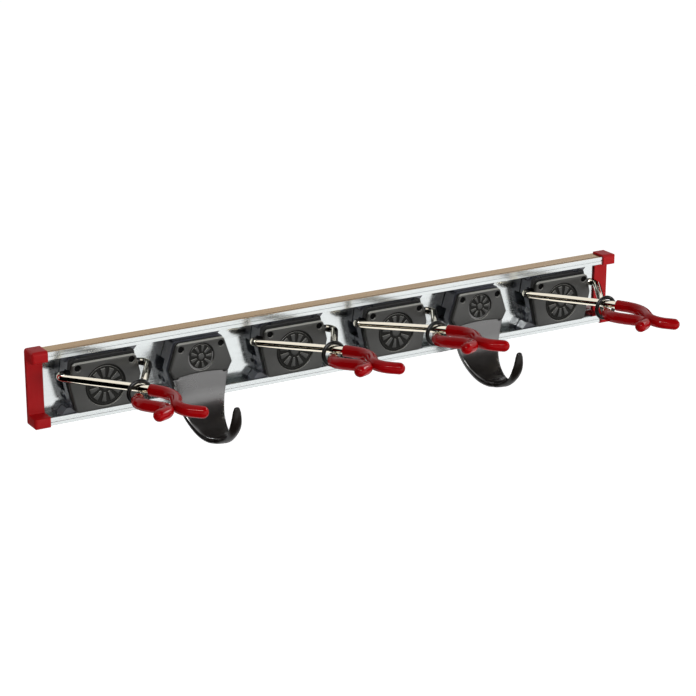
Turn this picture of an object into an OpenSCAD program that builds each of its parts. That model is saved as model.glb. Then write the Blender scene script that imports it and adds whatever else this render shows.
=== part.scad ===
// Wall rail with four sliding tool clamps and two sliding hooks.
// X runs along the rail, the front is -Y and Z is up.
// The origin is the centre of the rail's back face. A depth is a distance in front of the wall.

/* [Rail] */
// Length over both end caps
rack_l = 500; // [440:5:640]
// Height of the rail
rail_h = 54.2; // [53.6:0.2:60]
// Depth of the rail from the wall to the faces of its lips
rail_d = 13.2; // [12.8:0.1:15]
// Thickness of the web against the wall
web_t = 1.5; // [1.2:0.1:1.8]
// Thickness of the top and bottom flanges
flange_t = 2; // [1.6:0.1:2.2]
// Height of each front lip
lip_h = 5.8; // [5:0.1:6]
// Thickness of each front lip
lip_t = 1.8; // [1.6:0.1:2]
// Width of the decorative line along each lip
line_w = 1; // [0.6:0.1:1.4]
// Depth of the decorative lines
line_t = 0.4; // [0.2:0.1:0.5]
// Height of the low rib on the web
rib_h = 1.6; // [1:0.1:2.4]
// Proud height of the rib on the web
rib_t = 0.4; // [0.2:0.1:0.5]
// Diameter of the wall screw holes
screw_hole_d = 5.2; // [4.2:0.1:6]
// Distance between the two wall screw holes
screw_hole_l = 392; // [388:1:396]

/* [End caps] */
// Width of each cap along the rail
cap_w = 12; // [9:0.5:12]
// Thickness of the cap's end wall
cap_end_t = 2; // [1.5:0.1:4]
// Thickness of the cap over the flanges
cap_skin = 1.4; // [1:0.1:2]
// Thickness of the cap in front of the lips
cap_front = 1.5; // [1:0.1:2.5]
// Thickness of the cap under each lip's edge
cap_lip = 1.1; // [0.8:0.1:1.4]
// Thickness of the cap's strip in front of the web
cap_strip = 1.8; // [1:0.1:2.5]
// Play between cap and rail
cap_fit = 0.1; // [0.05:0.01:0.15]
// Radius of the cap's front corners
cap_round = 3; // [1:0.5:4]
// Radius of the edges round the cap's end wall
cap_edge = 2.4; // [1:0.1:2.6]
// Radius of the corners round the cap's front opening
cap_inner_round = 1.2; // [0.6:0.1:1.4]

/* [Holder bodies] */
// Shares of the rail's spare length left of, between and right of its six holders
gap_share = [9.6, 19.9, 20.7, 27.2, 20.6, 21.2, 14.4]; // [8:0.1:40]
// Play between a holder and the rail
slide_gap = 0.3; // [0.2:0.05:0.4]
// Width of a clamp's tongues behind the rail's lips
clamp_tongue_w = 60; // [52:1:62]
// Width of a hook holder's tongues
hook_tongue_w = 40; // [30:1:42]
// How far the base stands out of the rail at a clamp
base_proud = 1.3; // [0.8:0.1:2]
// Thickness of the neck between base and cover
neck_t = 2; // [1.4:0.1:2.5]
// Width of the shadow groove round the neck
neck_inset = 1.2; // [0.8:0.1:1.6]
// Thickness of a clamp's cover
cover_t = 4.5; // [4:0.1:6]
// Radius of the corners of bases and covers
corner_round = 3; // [1:0.5:3.5]
// Diameter of the cover screws
screw_d = 2.2; // [2:0.1:2.6]
// Diameter of the cover screws' heads
head_d = 4.4; // [4:0.1:4.8]
// Height of the cover screws' heads
head_t = 1.6; // [1.2:0.1:2]
// Length of the cover screws below the head
screw_l = 5; // [4:0.1:5.2]
// Play round each cover screw
screw_gap = 0.1; // [0.05:0.01:0.15]
// Width of the groove of each round badge
badge_line = 1.2; // [0.8:0.1:1.5]
// Depth of the groove of each round badge
badge_deep = 0.8; // [0.4:0.1:1.1]

/* [Clamp outline] */
// Width of a clamp at its widest level
clamp_wide_w = 55; // [54:0.5:56]
// Height of the widest level above the rail's middle
clamp_wide_z = 3; // [1:0.5:4]
// Width of a clamp's base along its top edge
clamp_top_w = 50; // [49:0.5:52]
// Height of the base's top edge
clamp_top_z = 20.4; // [20:0.1:20.6]
// Width of a clamp's bottom edge
clamp_low_w = 45; // [42:0.5:50]
// Drop of a clamp's bottom edge below the rail's middle
clamp_low_z = 19; // [18:0.1:19.5]
// How far the cover's top edge sits below the base's
cover_drop = 2.4; // [1.6:0.1:2.6]
// How much narrower the cover's top edge is than the base's
cover_taper = 2; // [1:0.5:3]
// Diameter of a clamp's badge
clamp_badge_d = 30.8; // [26:0.2:31]
// Height of a clamp's badge, from the rail's middle
clamp_badge_z = -1.2; // [-1.4:0.1:-0.6]
// Distance between a clamp's cover screws
clamp_screw_l = 41; // [40.6:0.1:41.4]
// Height of a clamp's cover screws
clamp_screw_z = 14.2; // [14:0.1:14.4]

/* [Clamp arms] */
// Diameter of the bent steel rods
rod_d = 5.6; // [5.2:0.1:5.8]
// Diameter of the rods under their sleeves
core_d = 4.2; // [3.6:0.1:4.4]
// Diameter of the black sleeves
sleeve_d = 5.2; // [5:0.1:5.4]
// How far each sleeve follows the corner bend, in degrees
sleeve_turn = 35; // [10:1:60]
// Distance of each hinge pin from the clamp's middle
pin_x = 15; // [14.6:0.1:15.4]
// Diameter of the hinge pins
pin_d = 4; // [3.4:0.1:4]
// Length of the hinge pins
pin_l = 17; // [14:0.5:19]
// Outward lean of the hinge pins, in degrees
pin_lean = 15; // [10:1:16]
// Running clearance of arm on pin
pin_run = 0.05; // [0.02:0.01:0.1]
// Diameter of the eye round each pin
eye_d = 7.6; // [7:0.1:7.8]
// Height of the eye round each pin
eye_h = 5; // [4.4:0.1:5.2]
// Play round eye and sleeve inside the base
pocket_gap = 0.3; // [0.2:0.05:0.4]
// Widest opening of each arm, in degrees
open_angle = 8; // [4:0.5:8]
// Depth of the arms' stubs in front of the wall
arm_depth = 13.3; // [13.1:0.1:13.5]
// Height of the arms' stubs
arm_z = 9.3; // [9:0.1:9.4]
// How far each pair of arms hangs down at the front, in degrees
arm_sag = [1.5, -0.3, -1.1, 2.7]; // [-1.2:0.1:3]
// How far the corner of each arm stands out of the clamp's side
corner_out = 10.3; // [9.8:0.1:11]
// Depth at which the two rods cross
cross_depth = 77.2; // [75:0.2:80]
// Radius of the corner bend
corner_r = 6.5; // [6:0.1:7]
// Rise of the upper arm, in degrees
upper_rise = 5.4; // [5.2:0.1:5.8]
// Fall of the lower arm, in degrees
lower_fall = 1.7; // [1.5:0.1:2]
// Bend that levels the upper arm at the crossing, in degrees
upper_bend = 3; // [2:0.1:4]
// Bend that lifts the lower arm, in degrees
lower_bend = 13; // [11.5:0.1:13.4]
// Run of the lower arm before its lifting bend
lower_run = 53; // [52:0.5:54]
// Radius of the levelling and lifting bends
lift_r = 30; // [24:1:36]

/* [Clamp grips] */
// Diameter of the red grips
grip_d = 8.4; // [7.6:0.1:8.8]
// Play between grip and rod
grip_fit = 0.02; // [0.01:0.01:0.05]
// Run from the crossing to the start of the grip
grip_start = 9; // [8:0.2:11]
// Run from the start of the grip to the belly bend
grip_run = 8; // [7:0.2:9]
// Radius of the belly bend
belly_r = 24; // [22:0.5:26]
// Heading of the grips where they close in, in degrees
close_in = 25; // [22:0.5:26]
// Gap between a clamp's two grips at their waist, seen from above
waist_gap = 1.07; // [1:0.01:4]
// Radius of the mouth bend
mouth_r = 12; // [11:0.5:14]
// Outward heading of the finger ends, in degrees
mouth_out = 60; // [50:1:64]
// Downward twist of the mouth bend, in degrees
mouth_dip = 5; // [0:0.5:7]
// Straight run of each finger end
finger_run = 6; // [5:0.5:8]
// Inner diameter of the rubber ring at the crossing
ring_in_d = 13.2; // [13:0.1:13.6]
// Thickness of the rubber ring's cord
ring_cord_d = 3; // [2:0.1:3.2]

/* [Hook] */
// Gap between the hook's plate and the rail's lips
hook_gap = 2.8; // [2.4:0.1:3.2]
// How much wider and higher the hook base's edge is than the cover's
hook_ledge = 0.6; // [0.4:0.1:0.8]
// Thickness of the hook's plate
hook_t = 2.7; // [2.2:0.1:3.2]
// Thickness of the hook at the bottom of its bowl
bowl_t = 5; // [4:0.1:5.6]
// Thickness of the finger
finger_t = 3.5; // [3:0.1:4.2]
// Outer radius of the hook's bowl
hook_r = 29.8; // [26:0.2:34]
// Drop of the bowl's centre below the rail's middle
hook_drop = 20; // [18:0.5:30]
// Rise of the finger above the bowl's centre
finger_up = 3; // [2:0.2:10]
// Width of the hook's shoulders
hook_top_w = 44; // [40:0.5:46]
// Width of the hook at the back of its bowl
hook_mid_w = 36; // [32:0.5:40]
// Width of the hook at the bottom of its bowl
hook_low_w = 20; // [18:0.5:26]
// Width of the finger where it leaves the bowl
finger_neck_w = 6.6; // [6:0.2:9]
// Width of the finger at its widest
finger_w = 9.4; // [8:0.2:12]
// Width of the finger's tip
finger_tip_w = 4; // [3:0.2:6]
// Width of the hook's tang inside the cover
tang_w = 36; // [30:0.5:37]
// Height of the tang's top edge
tang_z = 9; // [8:0.2:9.6]
// Thickness of the hook cover in front of the tang
hook_skin = 1.3; // [1:0.1:2]
// Diameter of the bosses that hold the tang
boss_d = 5; // [4:0.2:6]
// Distance between the bosses
boss_l = 22; // [18:0.5:24]
// Width of the hook holder at its widest level
hook_wide_w = 50; // [49:0.5:52]
// Drop of that level below the rail's middle
hook_wide_z = 1; // [0:0.2:2]
// Width of the hook cover's top edge
hook_cover_w = 37; // [35.5:0.5:40]
// Height of the hook cover's top edge
hook_cover_z = 18.7; // [18.4:0.1:19]
// Width of the hook cover's bottom edge
hook_skirt_w = 43; // [42:0.5:44]
// Drop of the hook cover's bottom corners
hook_skirt_z = 7.5; // [7:0.1:8]
// Rise of the cover's curved bottom edge in the middle
skirt_rise = 1.9; // [1:0.1:3]
// How far the hook base stands out of the rail's mouth, behind its neck
hook_neck = 1.7; // [1:0.1:2]
// Diameter of a hook's badge
hook_badge_d = 20.8; // [18:0.2:21.4]
// Height of a hook's badge
hook_badge_z = 6.5; // [6:0.1:7]
// Distance between a hook's cover screws
hook_screw_l = 32; // [31.4:0.1:33]
// Height of a hook's cover screws
hook_screw_z = 14.2; // [13.8:0.1:14.6]

/* [Hidden] */
$fn = 48;

// Colours
aluminium = [0.80, 0.81, 0.82];
cap_red = [0.67, 0.13, 0.16];
grip_red = [0.78, 0.12, 0.15];
nylon_black = [0.24, 0.24, 0.23];
rubber_black = [0.10, 0.10, 0.10];
dark_steel = [0.14, 0.14, 0.14];
chrome = [0.86, 0.85, 0.80];
hook_black = [0.20, 0.19, 0.18];

// Overshoot of a cutter past the face that it opens
eps = 1;

// Places of the rail's rib above the lower lip, and of the line behind the top's front edge
rib_lift = 0.3;
top_line_in = 2;

// Rail levels and depths
rail_top = rail_h / 2;
flange_in = rail_top - flange_t;
mouth = rail_top - lip_h;
lip_back = rail_d - lip_t;
rail_l = rack_l - 2 * cap_end_t;
line_z = rail_top - lip_h / 2;
rib_low = -mouth + rib_lift;
top_line_depth = rail_d - top_line_in;

// Holder depths, from the wall forward
base_back = web_t + rib_t + slide_gap;
clamp_base_d = rail_d + base_proud;
clamp_neck_d = clamp_base_d + neck_t;
clamp_front = clamp_neck_d + cover_t;
tongue_z = flange_in - slide_gap;
tongue_d = lip_back - slide_gap;
tongue_root = 17;
tongue_slope = 4;

// Room for each cover screw's head, and how deep it sits below the cover's face
head_sink = 1;
clamp_head_d = clamp_front - head_sink;

// Space behind each base for the heads of the wall screws
head_room_half = 5.5;
head_room_d = 6.2;
// Moulded hollow low in the back of each base, and the round window into it
hollow_w = 40;
hollow_top = -8;
hollow_low = -14;
hollow_d = 6;
window_d = 4.6;
window_back = 2.5;
window_depth = base_back + window_back;
window_z = (hollow_top + hollow_low) / 2;

// Places of the six holders along the rail, from the left
clamp_room = max(clamp_tongue_w, clamp_wide_w);
hook_room = hook_wide_w + 2 * hook_ledge;
holder_room = [clamp_room, hook_room, clamp_room, clamp_room, hook_room, clamp_room];
spare_l = rack_l - 2 * cap_w - total(holder_room, len(holder_room));
clamp_x = [for (i = [0, 2, 3, 5]) holder_x(i)];
hook_x = [for (i = [1, 4]) holder_x(i)];

// Arm geometry, in the plane of the bent rod
arm_forward = cross_depth - arm_depth;
corner_x = clamp_wide_w / 2 + corner_out;
splay = atan(corner_x / arm_forward);
corner_turn = 90 + splay;
corner_cut = corner_r * tan(corner_turn / 2);
stub_l = corner_x - corner_cut - pin_x;
arm_run = arm_forward / cos(splay) - corner_cut;
belly_out = (grip_start + grip_run) * sin(splay) + belly_r * (cos(close_in) - cos(splay));
waist_out = (grip_d + waist_gap) / 2 + mouth_r * (1 - cos(close_in));
waist_run = (belly_out - waist_out) / sin(close_in);
upper_arc_l = lift_r * upper_bend * PI / 180;
lower_arc_l = lift_r * lower_bend * PI / 180;
belly_turn = splay + close_in;
mouth_turn = close_in + mouth_out;

// Each step of a rod is [straight run, roll of the bend, bend radius, bend angle]
corner_steps = [[stub_l, 0, corner_r, sleeve_turn], [0, 0, corner_r, corner_turn - sleeve_turn]];
grip_steps = [[grip_run, 180, belly_r, belly_turn], [waist_run, -mouth_dip, mouth_r, mouth_turn],
    [finger_run, 0, 0, 0]];
upper_steps = concat(corner_steps,
    [[arm_run, -90, lift_r, upper_bend], [grip_start - upper_arc_l, 0, 0, 0]], grip_steps);
lower_steps = concat(corner_steps,
    [[lower_run, 90, lift_r, lower_bend],
     [arm_run - lower_run - lower_arc_l + grip_start, 0, 0, 0]], grip_steps);
rod_step = 1;
grip_step = len(corner_steps) + 2;

// Heights of the two rods where they cross, and the ring round them
corner_forward = corner_cut * cos(splay);
upper_up = arm_forward * sin(upper_rise);
lower_slope = asin(sin(lower_fall) * cos(splay));
lower_up = -(corner_forward + lower_run * cos(splay)) * sin(lower_fall)
    + lift_r * (cos(lower_slope) - cos(lower_bend - lower_slope))
    + (arm_run - lower_run - lower_arc_l) * sin(lower_bend - lower_slope);
ring_rise = (upper_up + lower_up) / 2;
ring_forward = arm_forward * cos(upper_rise / 2);

// Bore for each hinge pin, open at the top of the base
pin_bore_l = 2 * (clamp_top_z - arm_z) + 2 * pin_d;

// Room inside the base for the stubs: a slot for the bare core, then a mouth for the sleeve
sleeve_in = 4;
mouth_x = clamp_wide_w / 2 - sleeve_in;
sleeve_x = mouth_x + pocket_gap;
stub_swing = (clamp_wide_w / 2 - pin_x) * sin(open_angle);

// A ball this much thicker than the rod joins each run to its bend
knuckle = 0.04;

// Hook depths and levels
hook_back = rail_d + hook_gap;
hook_base_d = hook_back - hook_neck;
hook_front = hook_back + hook_t;
hook_cover_d = hook_front + hook_skin;
hook_head_d = hook_cover_d - head_sink;
boss_sink = 0.5;
boss_front = hook_front - boss_sink;
bowl_depth = hook_back + hook_r;
bowl_low = -hook_drop - hook_r;
inner_r = hook_r - (hook_t + finger_t) / 2;
inner_depth = hook_front + inner_r;
inner_z = bowl_low + bowl_t + inner_r;
shoulder_gap = 0.5;
shoulder_z = -hook_skirt_z - shoulder_gap;
tang_gap = 0.2;

// Angles below the bowl's centre at which the back, the finger's root and the finger change width
back_dip = 20;
root_dip = 53;
leaf_dip = 30;
back_z = -hook_drop - hook_r * sin(back_dip);
root_z = -hook_drop - hook_r * sin(root_dip);
leaf_z = -hook_drop - hook_r * sin(leaf_dip);
tip_z = finger_up - hook_drop;
finger_top = tip_z + finger_t / 2;

// End cap's height above the rail's middle and its depth
cap_top = rail_top + cap_skin;
cap_d = rail_d + cap_front;

// Small corner radii: the hook cover's, and the end cap's against the wall and the rail
hook_cover_round = 1;
cap_back_round = 0.5;

function unit(v) = v / norm(v);

// Sum of a list's first few values
function total(list, count) = count == 0 ? 0 : list[count - 1] + total(list, count - 1);

// Middle of a holder: the gaps up to it are their shares of the spare length
function holder_x(i) = cap_w - rack_l / 2 + total(holder_room, i) + holder_room[i] / 2
    + spare_l * total(gap_share, i + 1) / total(gap_share, len(gap_share));

// Outline with rounded corners, hollow ones too; each corner is [x, y, radius], anticlockwise
function rounded(corners, steps = 5) = [for (i = [0 : len(corners) - 1])
    let (last = len(corners) - 1,
        here = [corners[i][0], corners[i][1]],
        before = corners[i == 0 ? last : i - 1],
        after = corners[i == last ? 0 : i + 1],
        back = unit([before[0], before[1]] - here),
        on = unit([after[0], after[1]] - here),
        half = acos(back * on) / 2,
        radius = corners[i][2],
        centre = here + unit(back + on) * radius / sin(half),
        start = here + back * radius / tan(half) - centre,
        first = atan2(start[1], start[0]),
        sweep = sign(cross(on, back)) * (180 - 2 * half))
    for (k = [0 : steps]) let (angle = first + sweep * k / steps)
        centre + radius * [cos(angle), sin(angle)]];

// Six-sided holder outline, symmetric left and right
function holder_outline(top_w, top_z, wide_w, wide_z, low_w, low_z, r, inset = 0) = rounded([
    [-low_w / 2 + inset, -low_z + inset, r], [low_w / 2 - inset, -low_z + inset, r],
    [wide_w / 2 - inset, wide_z, r], [top_w / 2 - inset, top_z - inset, r],
    [-top_w / 2 + inset, top_z - inset, r], [-wide_w / 2 + inset, wide_z, r]]);

function clamp_outline(inset = 0) = holder_outline(clamp_top_w, clamp_top_z, clamp_wide_w,
    clamp_wide_z, clamp_low_w, clamp_low_z, corner_round, inset);

function clamp_cover_outline() = holder_outline(clamp_top_w - cover_taper, clamp_top_z - cover_drop,
    clamp_wide_w, clamp_wide_z, clamp_low_w, clamp_low_z, corner_round);

function hook_outline(inset = 0) = holder_outline(hook_cover_w + 2 * hook_ledge,
    hook_cover_z + hook_ledge, hook_wide_w + 2 * hook_ledge, -hook_wide_z, hook_skirt_w,
    clamp_low_z, corner_round, inset);

// Solid between two depths, from an outline in X and Z
module slab(back, front, outline) {
    translate([0, -back, 0]) rotate([90, 0, 0]) linear_extrude(front - back) polygon(outline);
}

// Solid along X, centred, from a 2D shape in Y and Z
module along_x(length) {
    rotate([90, 0, 90]) translate([0, 0, -length / 2]) linear_extrude(length) children();
}

// Block between two depths and two heights, centred on X
module block(width, back, front, low, high) {
    translate([-width / 2, -front, low]) cube([width, front - back, high - low]);
}

// Round bar along Y between two depths
module bar(d, back, front) {
    translate([0, -back, 0]) rotate([90, 0, 0]) cylinder(d = d, h = front - back);
}

// Bent rod that travels along its local Z and ends in a ball, or flat where ball_end is false
module bent(steps, d, first, last, ball_end = true, i = 0) {
    step = steps[i];
    bend_r = step[2];
    turn = step[3];
    drawn = i >= first;
    if (drawn && step[0] > 0) cylinder(d = d, h = step[0]);
    translate([0, 0, step[0]]) rotate([0, 0, step[1]]) {
        if (drawn && turn > 0) {
            if (step[0] > 0) sphere(d = d + knuckle);
            translate([bend_r, 0, 0]) rotate([90, 0, 180])
                rotate_extrude(angle = turn) translate([bend_r, 0]) circle(d = d);
        }
        translate([bend_r, 0, 0]) rotate([0, turn, 0]) translate([-bend_r, 0, 0])
            rotate([0, 0, -step[1]]) {
                if (drawn && (i < last || ball_end)) sphere(d = d + knuckle);
                if (i < last) bent(steps, d, first, last, ball_end, i + 1);
            }
    }
}

// Frame of a pair of arms: at the middle of their stubs, hanging down by this clamp's sag
module arm_pair() {
    translate([0, -arm_depth, arm_z]) rotate([$sag, 0, 0]) children();
}

// Frame of the left arm: at its hinge pin, travelling outward, rising by pitch to the front
module arm_frame(pitch) {
    arm_pair() translate([-pin_x, 0, 0]) rotate([90 - pitch, 0, 0]) rotate([0, -90, 0]) children();
}

// Cylinder on the left hinge pin's leaning axis, centred on the stub
module on_pin(d, h) {
    arm_pair() translate([-pin_x, 0, 0]) rotate([0, -pin_lean, 0]) cylinder(d = d, h = h, center = true);
}

module both_sides() {
    children();
    mirror([1, 0, 0]) children();
}

// ---- Rail and end caps ----

module rail_profile() {
    difference() {
        translate([-rail_d, -rail_top]) square([rail_d, rail_h]);
        translate([-lip_back, -flange_in]) square([lip_back - web_t, 2 * flange_in]);
        translate([-rail_d - eps, -mouth]) square([lip_t + 2 * eps, 2 * mouth]);
        for (side = [-1, 1])
            translate([-rail_d - eps, side * line_z - line_w / 2]) square([line_t + eps, line_w]);
        translate([-top_line_depth - line_w / 2, rail_top - line_t]) square([line_w, line_t + eps]);
    }
    translate([-web_t - rib_t, rib_low]) square([rib_t + web_t / 2, rib_h]);
}

module rail() {
    color(aluminium) difference() {
        along_x(rail_l) rail_profile();
        for (side = [-1, 1])
            translate([side * screw_hole_l / 2, eps, 0]) bar(screw_hole_d, 0, web_t + 2 * eps);
    }
}

// Hollow in the cap for the rail's end, a little larger than the rail all round
module cap_socket_profile() {
    in = cap_fit;
    difference() {
        translate([-rail_d - in, -rail_top - in]) square([rail_d + in + eps, rail_h + 2 * in]);
        translate([-lip_back + in, -flange_in + in])
            square([lip_back - web_t - rib_t - 2 * in, 2 * (flange_in - in)]);
        translate([-rail_d - eps, -mouth + in]) square([lip_t + 2 * eps, 2 * (mouth - in)]);
    }
}

// Side view of a cap: an arm over each flange, joined by a strip in front of the web
module cap_profile() {
    inner = mouth - cap_lip;
    strip = web_t + cap_strip;
    polygon(rounded([[-cap_d, -cap_top, cap_round], [0, -cap_top, cap_back_round],
        [0, cap_top, cap_back_round], [-cap_d, cap_top, cap_round],
        [-cap_d, inner, cap_inner_round], [-strip, inner, cap_inner_round],
        [-strip, -inner, cap_inner_round], [-cap_d, -inner, cap_inner_round]]));
}

// Left cap, its outer edges rounded in the front view and in the view from above
module end_cap() {
    left = -rack_l / 2;
    right = left + cap_w;
    color(cap_red) difference() {
        intersection() {
            translate([(left + right) / 2, 0, 0]) along_x(cap_w) cap_profile();
            slab(-eps, cap_d + eps, rounded([[left, -cap_top, cap_edge], [right, -cap_top, cap_back_round],
                [right, cap_top, cap_back_round], [left, cap_top, cap_edge]]));
            translate([0, 0, -cap_top - eps]) linear_extrude(2 * (cap_top + eps))
                polygon(rounded([[left, -cap_d, cap_edge], [right, -cap_d, cap_back_round],
                    [right, eps, cap_back_round], [left, eps, cap_back_round]]));
        }
        translate([cap_end_t + (left + right) / 2, 0, 0]) along_x(cap_w) cap_socket_profile();
    }
}

module left_end_cap() {
    end_cap();
}

module right_end_cap() {
    mirror([1, 0, 0]) end_cap();
}

// ---- Holder parts ----

// Upper and lower tongues of a holder, their ends slanting in towards the middle
module tongues(width) {
    for (side = [0, 1]) mirror([0, 0, side])
        slab(base_back, tongue_d, [[-width / 2 + tongue_slope, tongue_root],
            [width / 2 - tongue_slope, tongue_root], [width / 2, mouth], [width / 2, tongue_z],
            [-width / 2, tongue_z], [-width / 2, mouth]]);
}

// Room behind a base: the wall screws' heads, the moulded hollow and its side windows
module back_hollows() {
    block(clamp_wide_w + 2 * eps, base_back - eps, base_back + head_room_d,
        -head_room_half, head_room_half);
    block(hollow_w, base_back - eps, base_back + hollow_d, hollow_low, hollow_top);
    translate([-clamp_wide_w / 2 - eps, -window_depth, window_z]) rotate([0, 90, 0])
        cylinder(d = window_d, h = clamp_wide_w + 2 * eps);
}

module badge_groove(front, d, z) {
    translate([0, 0, z]) difference() {
        bar(d, front - badge_deep, front + eps);
        bar(d - 2 * badge_line, front - badge_deep - eps, front + 2 * eps);
    }
}

// One cover screw, its head at the given depth
module screw(front) {
    bar(head_d, front - head_t, front);
    bar(screw_d, front - head_t - screw_l, front - head_t / 2);
}

// Room for one cover screw, open to the front
module screw_room(front) {
    bar(head_d + 2 * screw_gap, front - head_t, front + 2 * head_t);
    bar(screw_d + 2 * screw_gap, front - head_t - screw_l - screw_gap, front);
}

module screw_pair(spacing, z) {
    for (side = [-1, 1]) translate([side * spacing / 2, 0, z]) children();
}

// ---- Clamp ----

// Slot beside the left pin that lets a stub of diameter d swing forward as its arm opens
module swing_slot(d, from_x) {
    half = d / 2 + pocket_gap;
    translate([-clamp_wide_w / 2 - eps, -arm_depth - half - stub_swing, arm_z - half])
        cube([clamp_wide_w / 2 + eps - from_x, 2 * half + stub_swing, 2 * half]);
}

// Room for both arms' eyes and stubs
module arm_room() {
    both_sides() {
        on_pin(eye_d + 2 * pocket_gap, eye_h + 2 * pocket_gap);
        swing_slot(core_d, pin_x);
        swing_slot(sleeve_d, mouth_x);
    }
}

module clamp_base() {
    color(nylon_black) difference() {
        union() {
            slab(base_back, clamp_base_d, clamp_outline());
            slab(clamp_base_d, clamp_neck_d, clamp_outline(neck_inset));
            tongues(clamp_tongue_w);
        }
        back_hollows();
        arm_room();
        both_sides() on_pin(pin_d, pin_bore_l);
        screw_pair(clamp_screw_l, clamp_screw_z) screw_room(clamp_head_d);
    }
}

module clamp_cover() {
    color(nylon_black) difference() {
        slab(clamp_neck_d, clamp_front, clamp_cover_outline());
        arm_room();
        badge_groove(clamp_front, clamp_badge_d, clamp_badge_z);
        screw_pair(clamp_screw_l, clamp_screw_z) screw_room(clamp_head_d);
    }
}

module clamp_screws() {
    color(dark_steel) screw_pair(clamp_screw_l, clamp_screw_z) screw(clamp_head_d);
}

module clamp_pins() {
    color(chrome) both_sides() on_pin(pin_d, pin_l);
}

module arm(steps, pitch) {
    color(chrome) difference() {
        union() {
            on_pin(eye_d, eye_h);
            arm_frame(pitch) bent(steps, core_d, 0, 0);
            arm_frame(pitch) bent(steps, rod_d, rod_step, len(steps) - 1);
        }
        on_pin(pin_d + 2 * pin_run, pin_l);
    }
}

module sleeve(steps, pitch) {
    color(rubber_black) difference() {
        arm_frame(pitch) bent(steps, sleeve_d, 0, 0, ball_end = false);
        arm_frame(pitch) bent(steps, core_d, 0, 0);
        arm_pair() translate([-sleeve_x, -sleeve_d, -sleeve_d]) cube([sleeve_x, 2 * sleeve_d, 2 * sleeve_d]);
    }
}

module grip(steps, pitch) {
    last = len(steps) - 1;
    color(grip_red) difference() {
        arm_frame(pitch) bent(steps, grip_d, grip_step, last);
        arm_frame(pitch) bent(steps, rod_d + 2 * grip_fit, grip_step - 1, last);
    }
}

module left_arm() {
    arm(upper_steps, upper_rise);
}

module left_sleeve() {
    sleeve(upper_steps, upper_rise);
}

module left_grip() {
    grip(upper_steps, upper_rise);
}

module right_arm() {
    mirror([1, 0, 0]) arm(lower_steps, -lower_fall);
}

module right_sleeve() {
    mirror([1, 0, 0]) sleeve(lower_steps, -lower_fall);
}

module right_grip() {
    mirror([1, 0, 0]) grip(lower_steps, -lower_fall);
}

module ring() {
    color(rubber_black) arm_pair() translate([0, -ring_forward, ring_rise]) rotate([90, 0, 0])
        rotate_extrude() translate([(ring_in_d + ring_cord_d) / 2, 0]) circle(d = ring_cord_d);
}

module at_clamp(i) {
    $sag = arm_sag[i - 1];
    translate([clamp_x[i - 1], 0, 0]) children();
}

// ---- Hook ----

module bosses(d, back, front) {
    for (side = [-1, 1]) translate([side * boss_l / 2, 0, 0]) bar(d, back, front);
}

module hook_base() {
    color(nylon_black) difference() {
        union() {
            slab(base_back, hook_base_d, hook_outline());
            slab(hook_base_d, hook_back, hook_outline(neck_inset));
            tongues(hook_tongue_w);
            bosses(boss_d, hook_base_d, boss_front);
        }
        back_hollows();
        screw_pair(hook_screw_l, hook_screw_z) screw_room(hook_head_d);
    }
}

module hook_cover() {
    skirt_half = hook_skirt_w / 2;
    skirt_r = (skirt_half * skirt_half + skirt_rise * skirt_rise) / (2 * skirt_rise);
    color(nylon_black) difference() {
        slab(hook_back, hook_cover_d, holder_outline(hook_cover_w, hook_cover_z, hook_wide_w,
            -hook_wide_z, hook_skirt_w, hook_skirt_z, hook_cover_round));
        translate([0, 0, -hook_skirt_z + skirt_rise - skirt_r])
            bar(2 * skirt_r, hook_back - eps, hook_cover_d + eps);
        block(tang_w + 2 * tang_gap, hook_back - eps, hook_front, -hook_skirt_z - eps, tang_z + tang_gap);
        badge_groove(hook_cover_d, hook_badge_d, hook_badge_z);
        screw_pair(hook_screw_l, hook_screw_z) screw_room(hook_head_d);
    }
}

module hook_screws() {
    color(dark_steel) screw_pair(hook_screw_l, hook_screw_z) screw(hook_head_d);
}

// Side view of the hook: its plate, the bowl that thickens towards the bottom, and the finger
module hook_profile() {
    translate([-hook_front, -hook_drop]) square([hook_t, hook_drop + tang_z]);
    difference() {
        translate([-bowl_depth, -hook_drop]) {
            circle(r = hook_r);
            translate([-hook_r, 0]) square([2 * hook_r, finger_up]);
        }
        translate([-inner_depth, inner_z]) circle(r = inner_r);
        translate([-inner_depth - inner_r, inner_z]) square([2 * inner_r, hook_r]);
        translate([-bowl_depth - hook_r - eps, tip_z]) square([2 * (hook_r + eps), hook_r + eps]);
    }
    translate([-bowl_depth - hook_r + finger_t / 2, tip_z]) circle(d = finger_t);
}

// Front view of the hook behind the middle of its bowl, then in front of it
module hook_widths() {
    low = bowl_low - eps;
    slab(hook_back - eps, bowl_depth, [[-hook_low_w / 2, low], [hook_low_w / 2, low],
        [hook_mid_w / 2, back_z], [hook_top_w / 2, shoulder_z], [tang_w / 2, shoulder_z],
        [tang_w / 2, tang_z + eps], [-tang_w / 2, tang_z + eps], [-tang_w / 2, shoulder_z],
        [-hook_top_w / 2, shoulder_z], [-hook_mid_w / 2, back_z]]);
    slab(bowl_depth, bowl_depth + hook_r + eps, [[-hook_low_w / 2, low], [hook_low_w / 2, low],
        [finger_neck_w / 2, root_z], [finger_w / 2, leaf_z], [finger_tip_w / 2, finger_top + eps],
        [-finger_tip_w / 2, finger_top + eps], [-finger_w / 2, leaf_z], [-finger_neck_w / 2, root_z]]);
}

module hook_body() {
    color(hook_black) difference() {
        intersection() {
            along_x(hook_top_w + 2 * eps) hook_profile();
            hook_widths();
        }
        bosses(boss_d + 2 * tang_gap, hook_back - eps, hook_front + eps);
    }
}

module at_hook(i) {
    translate([hook_x[i - 1], 0, 0]) children();
}

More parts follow.
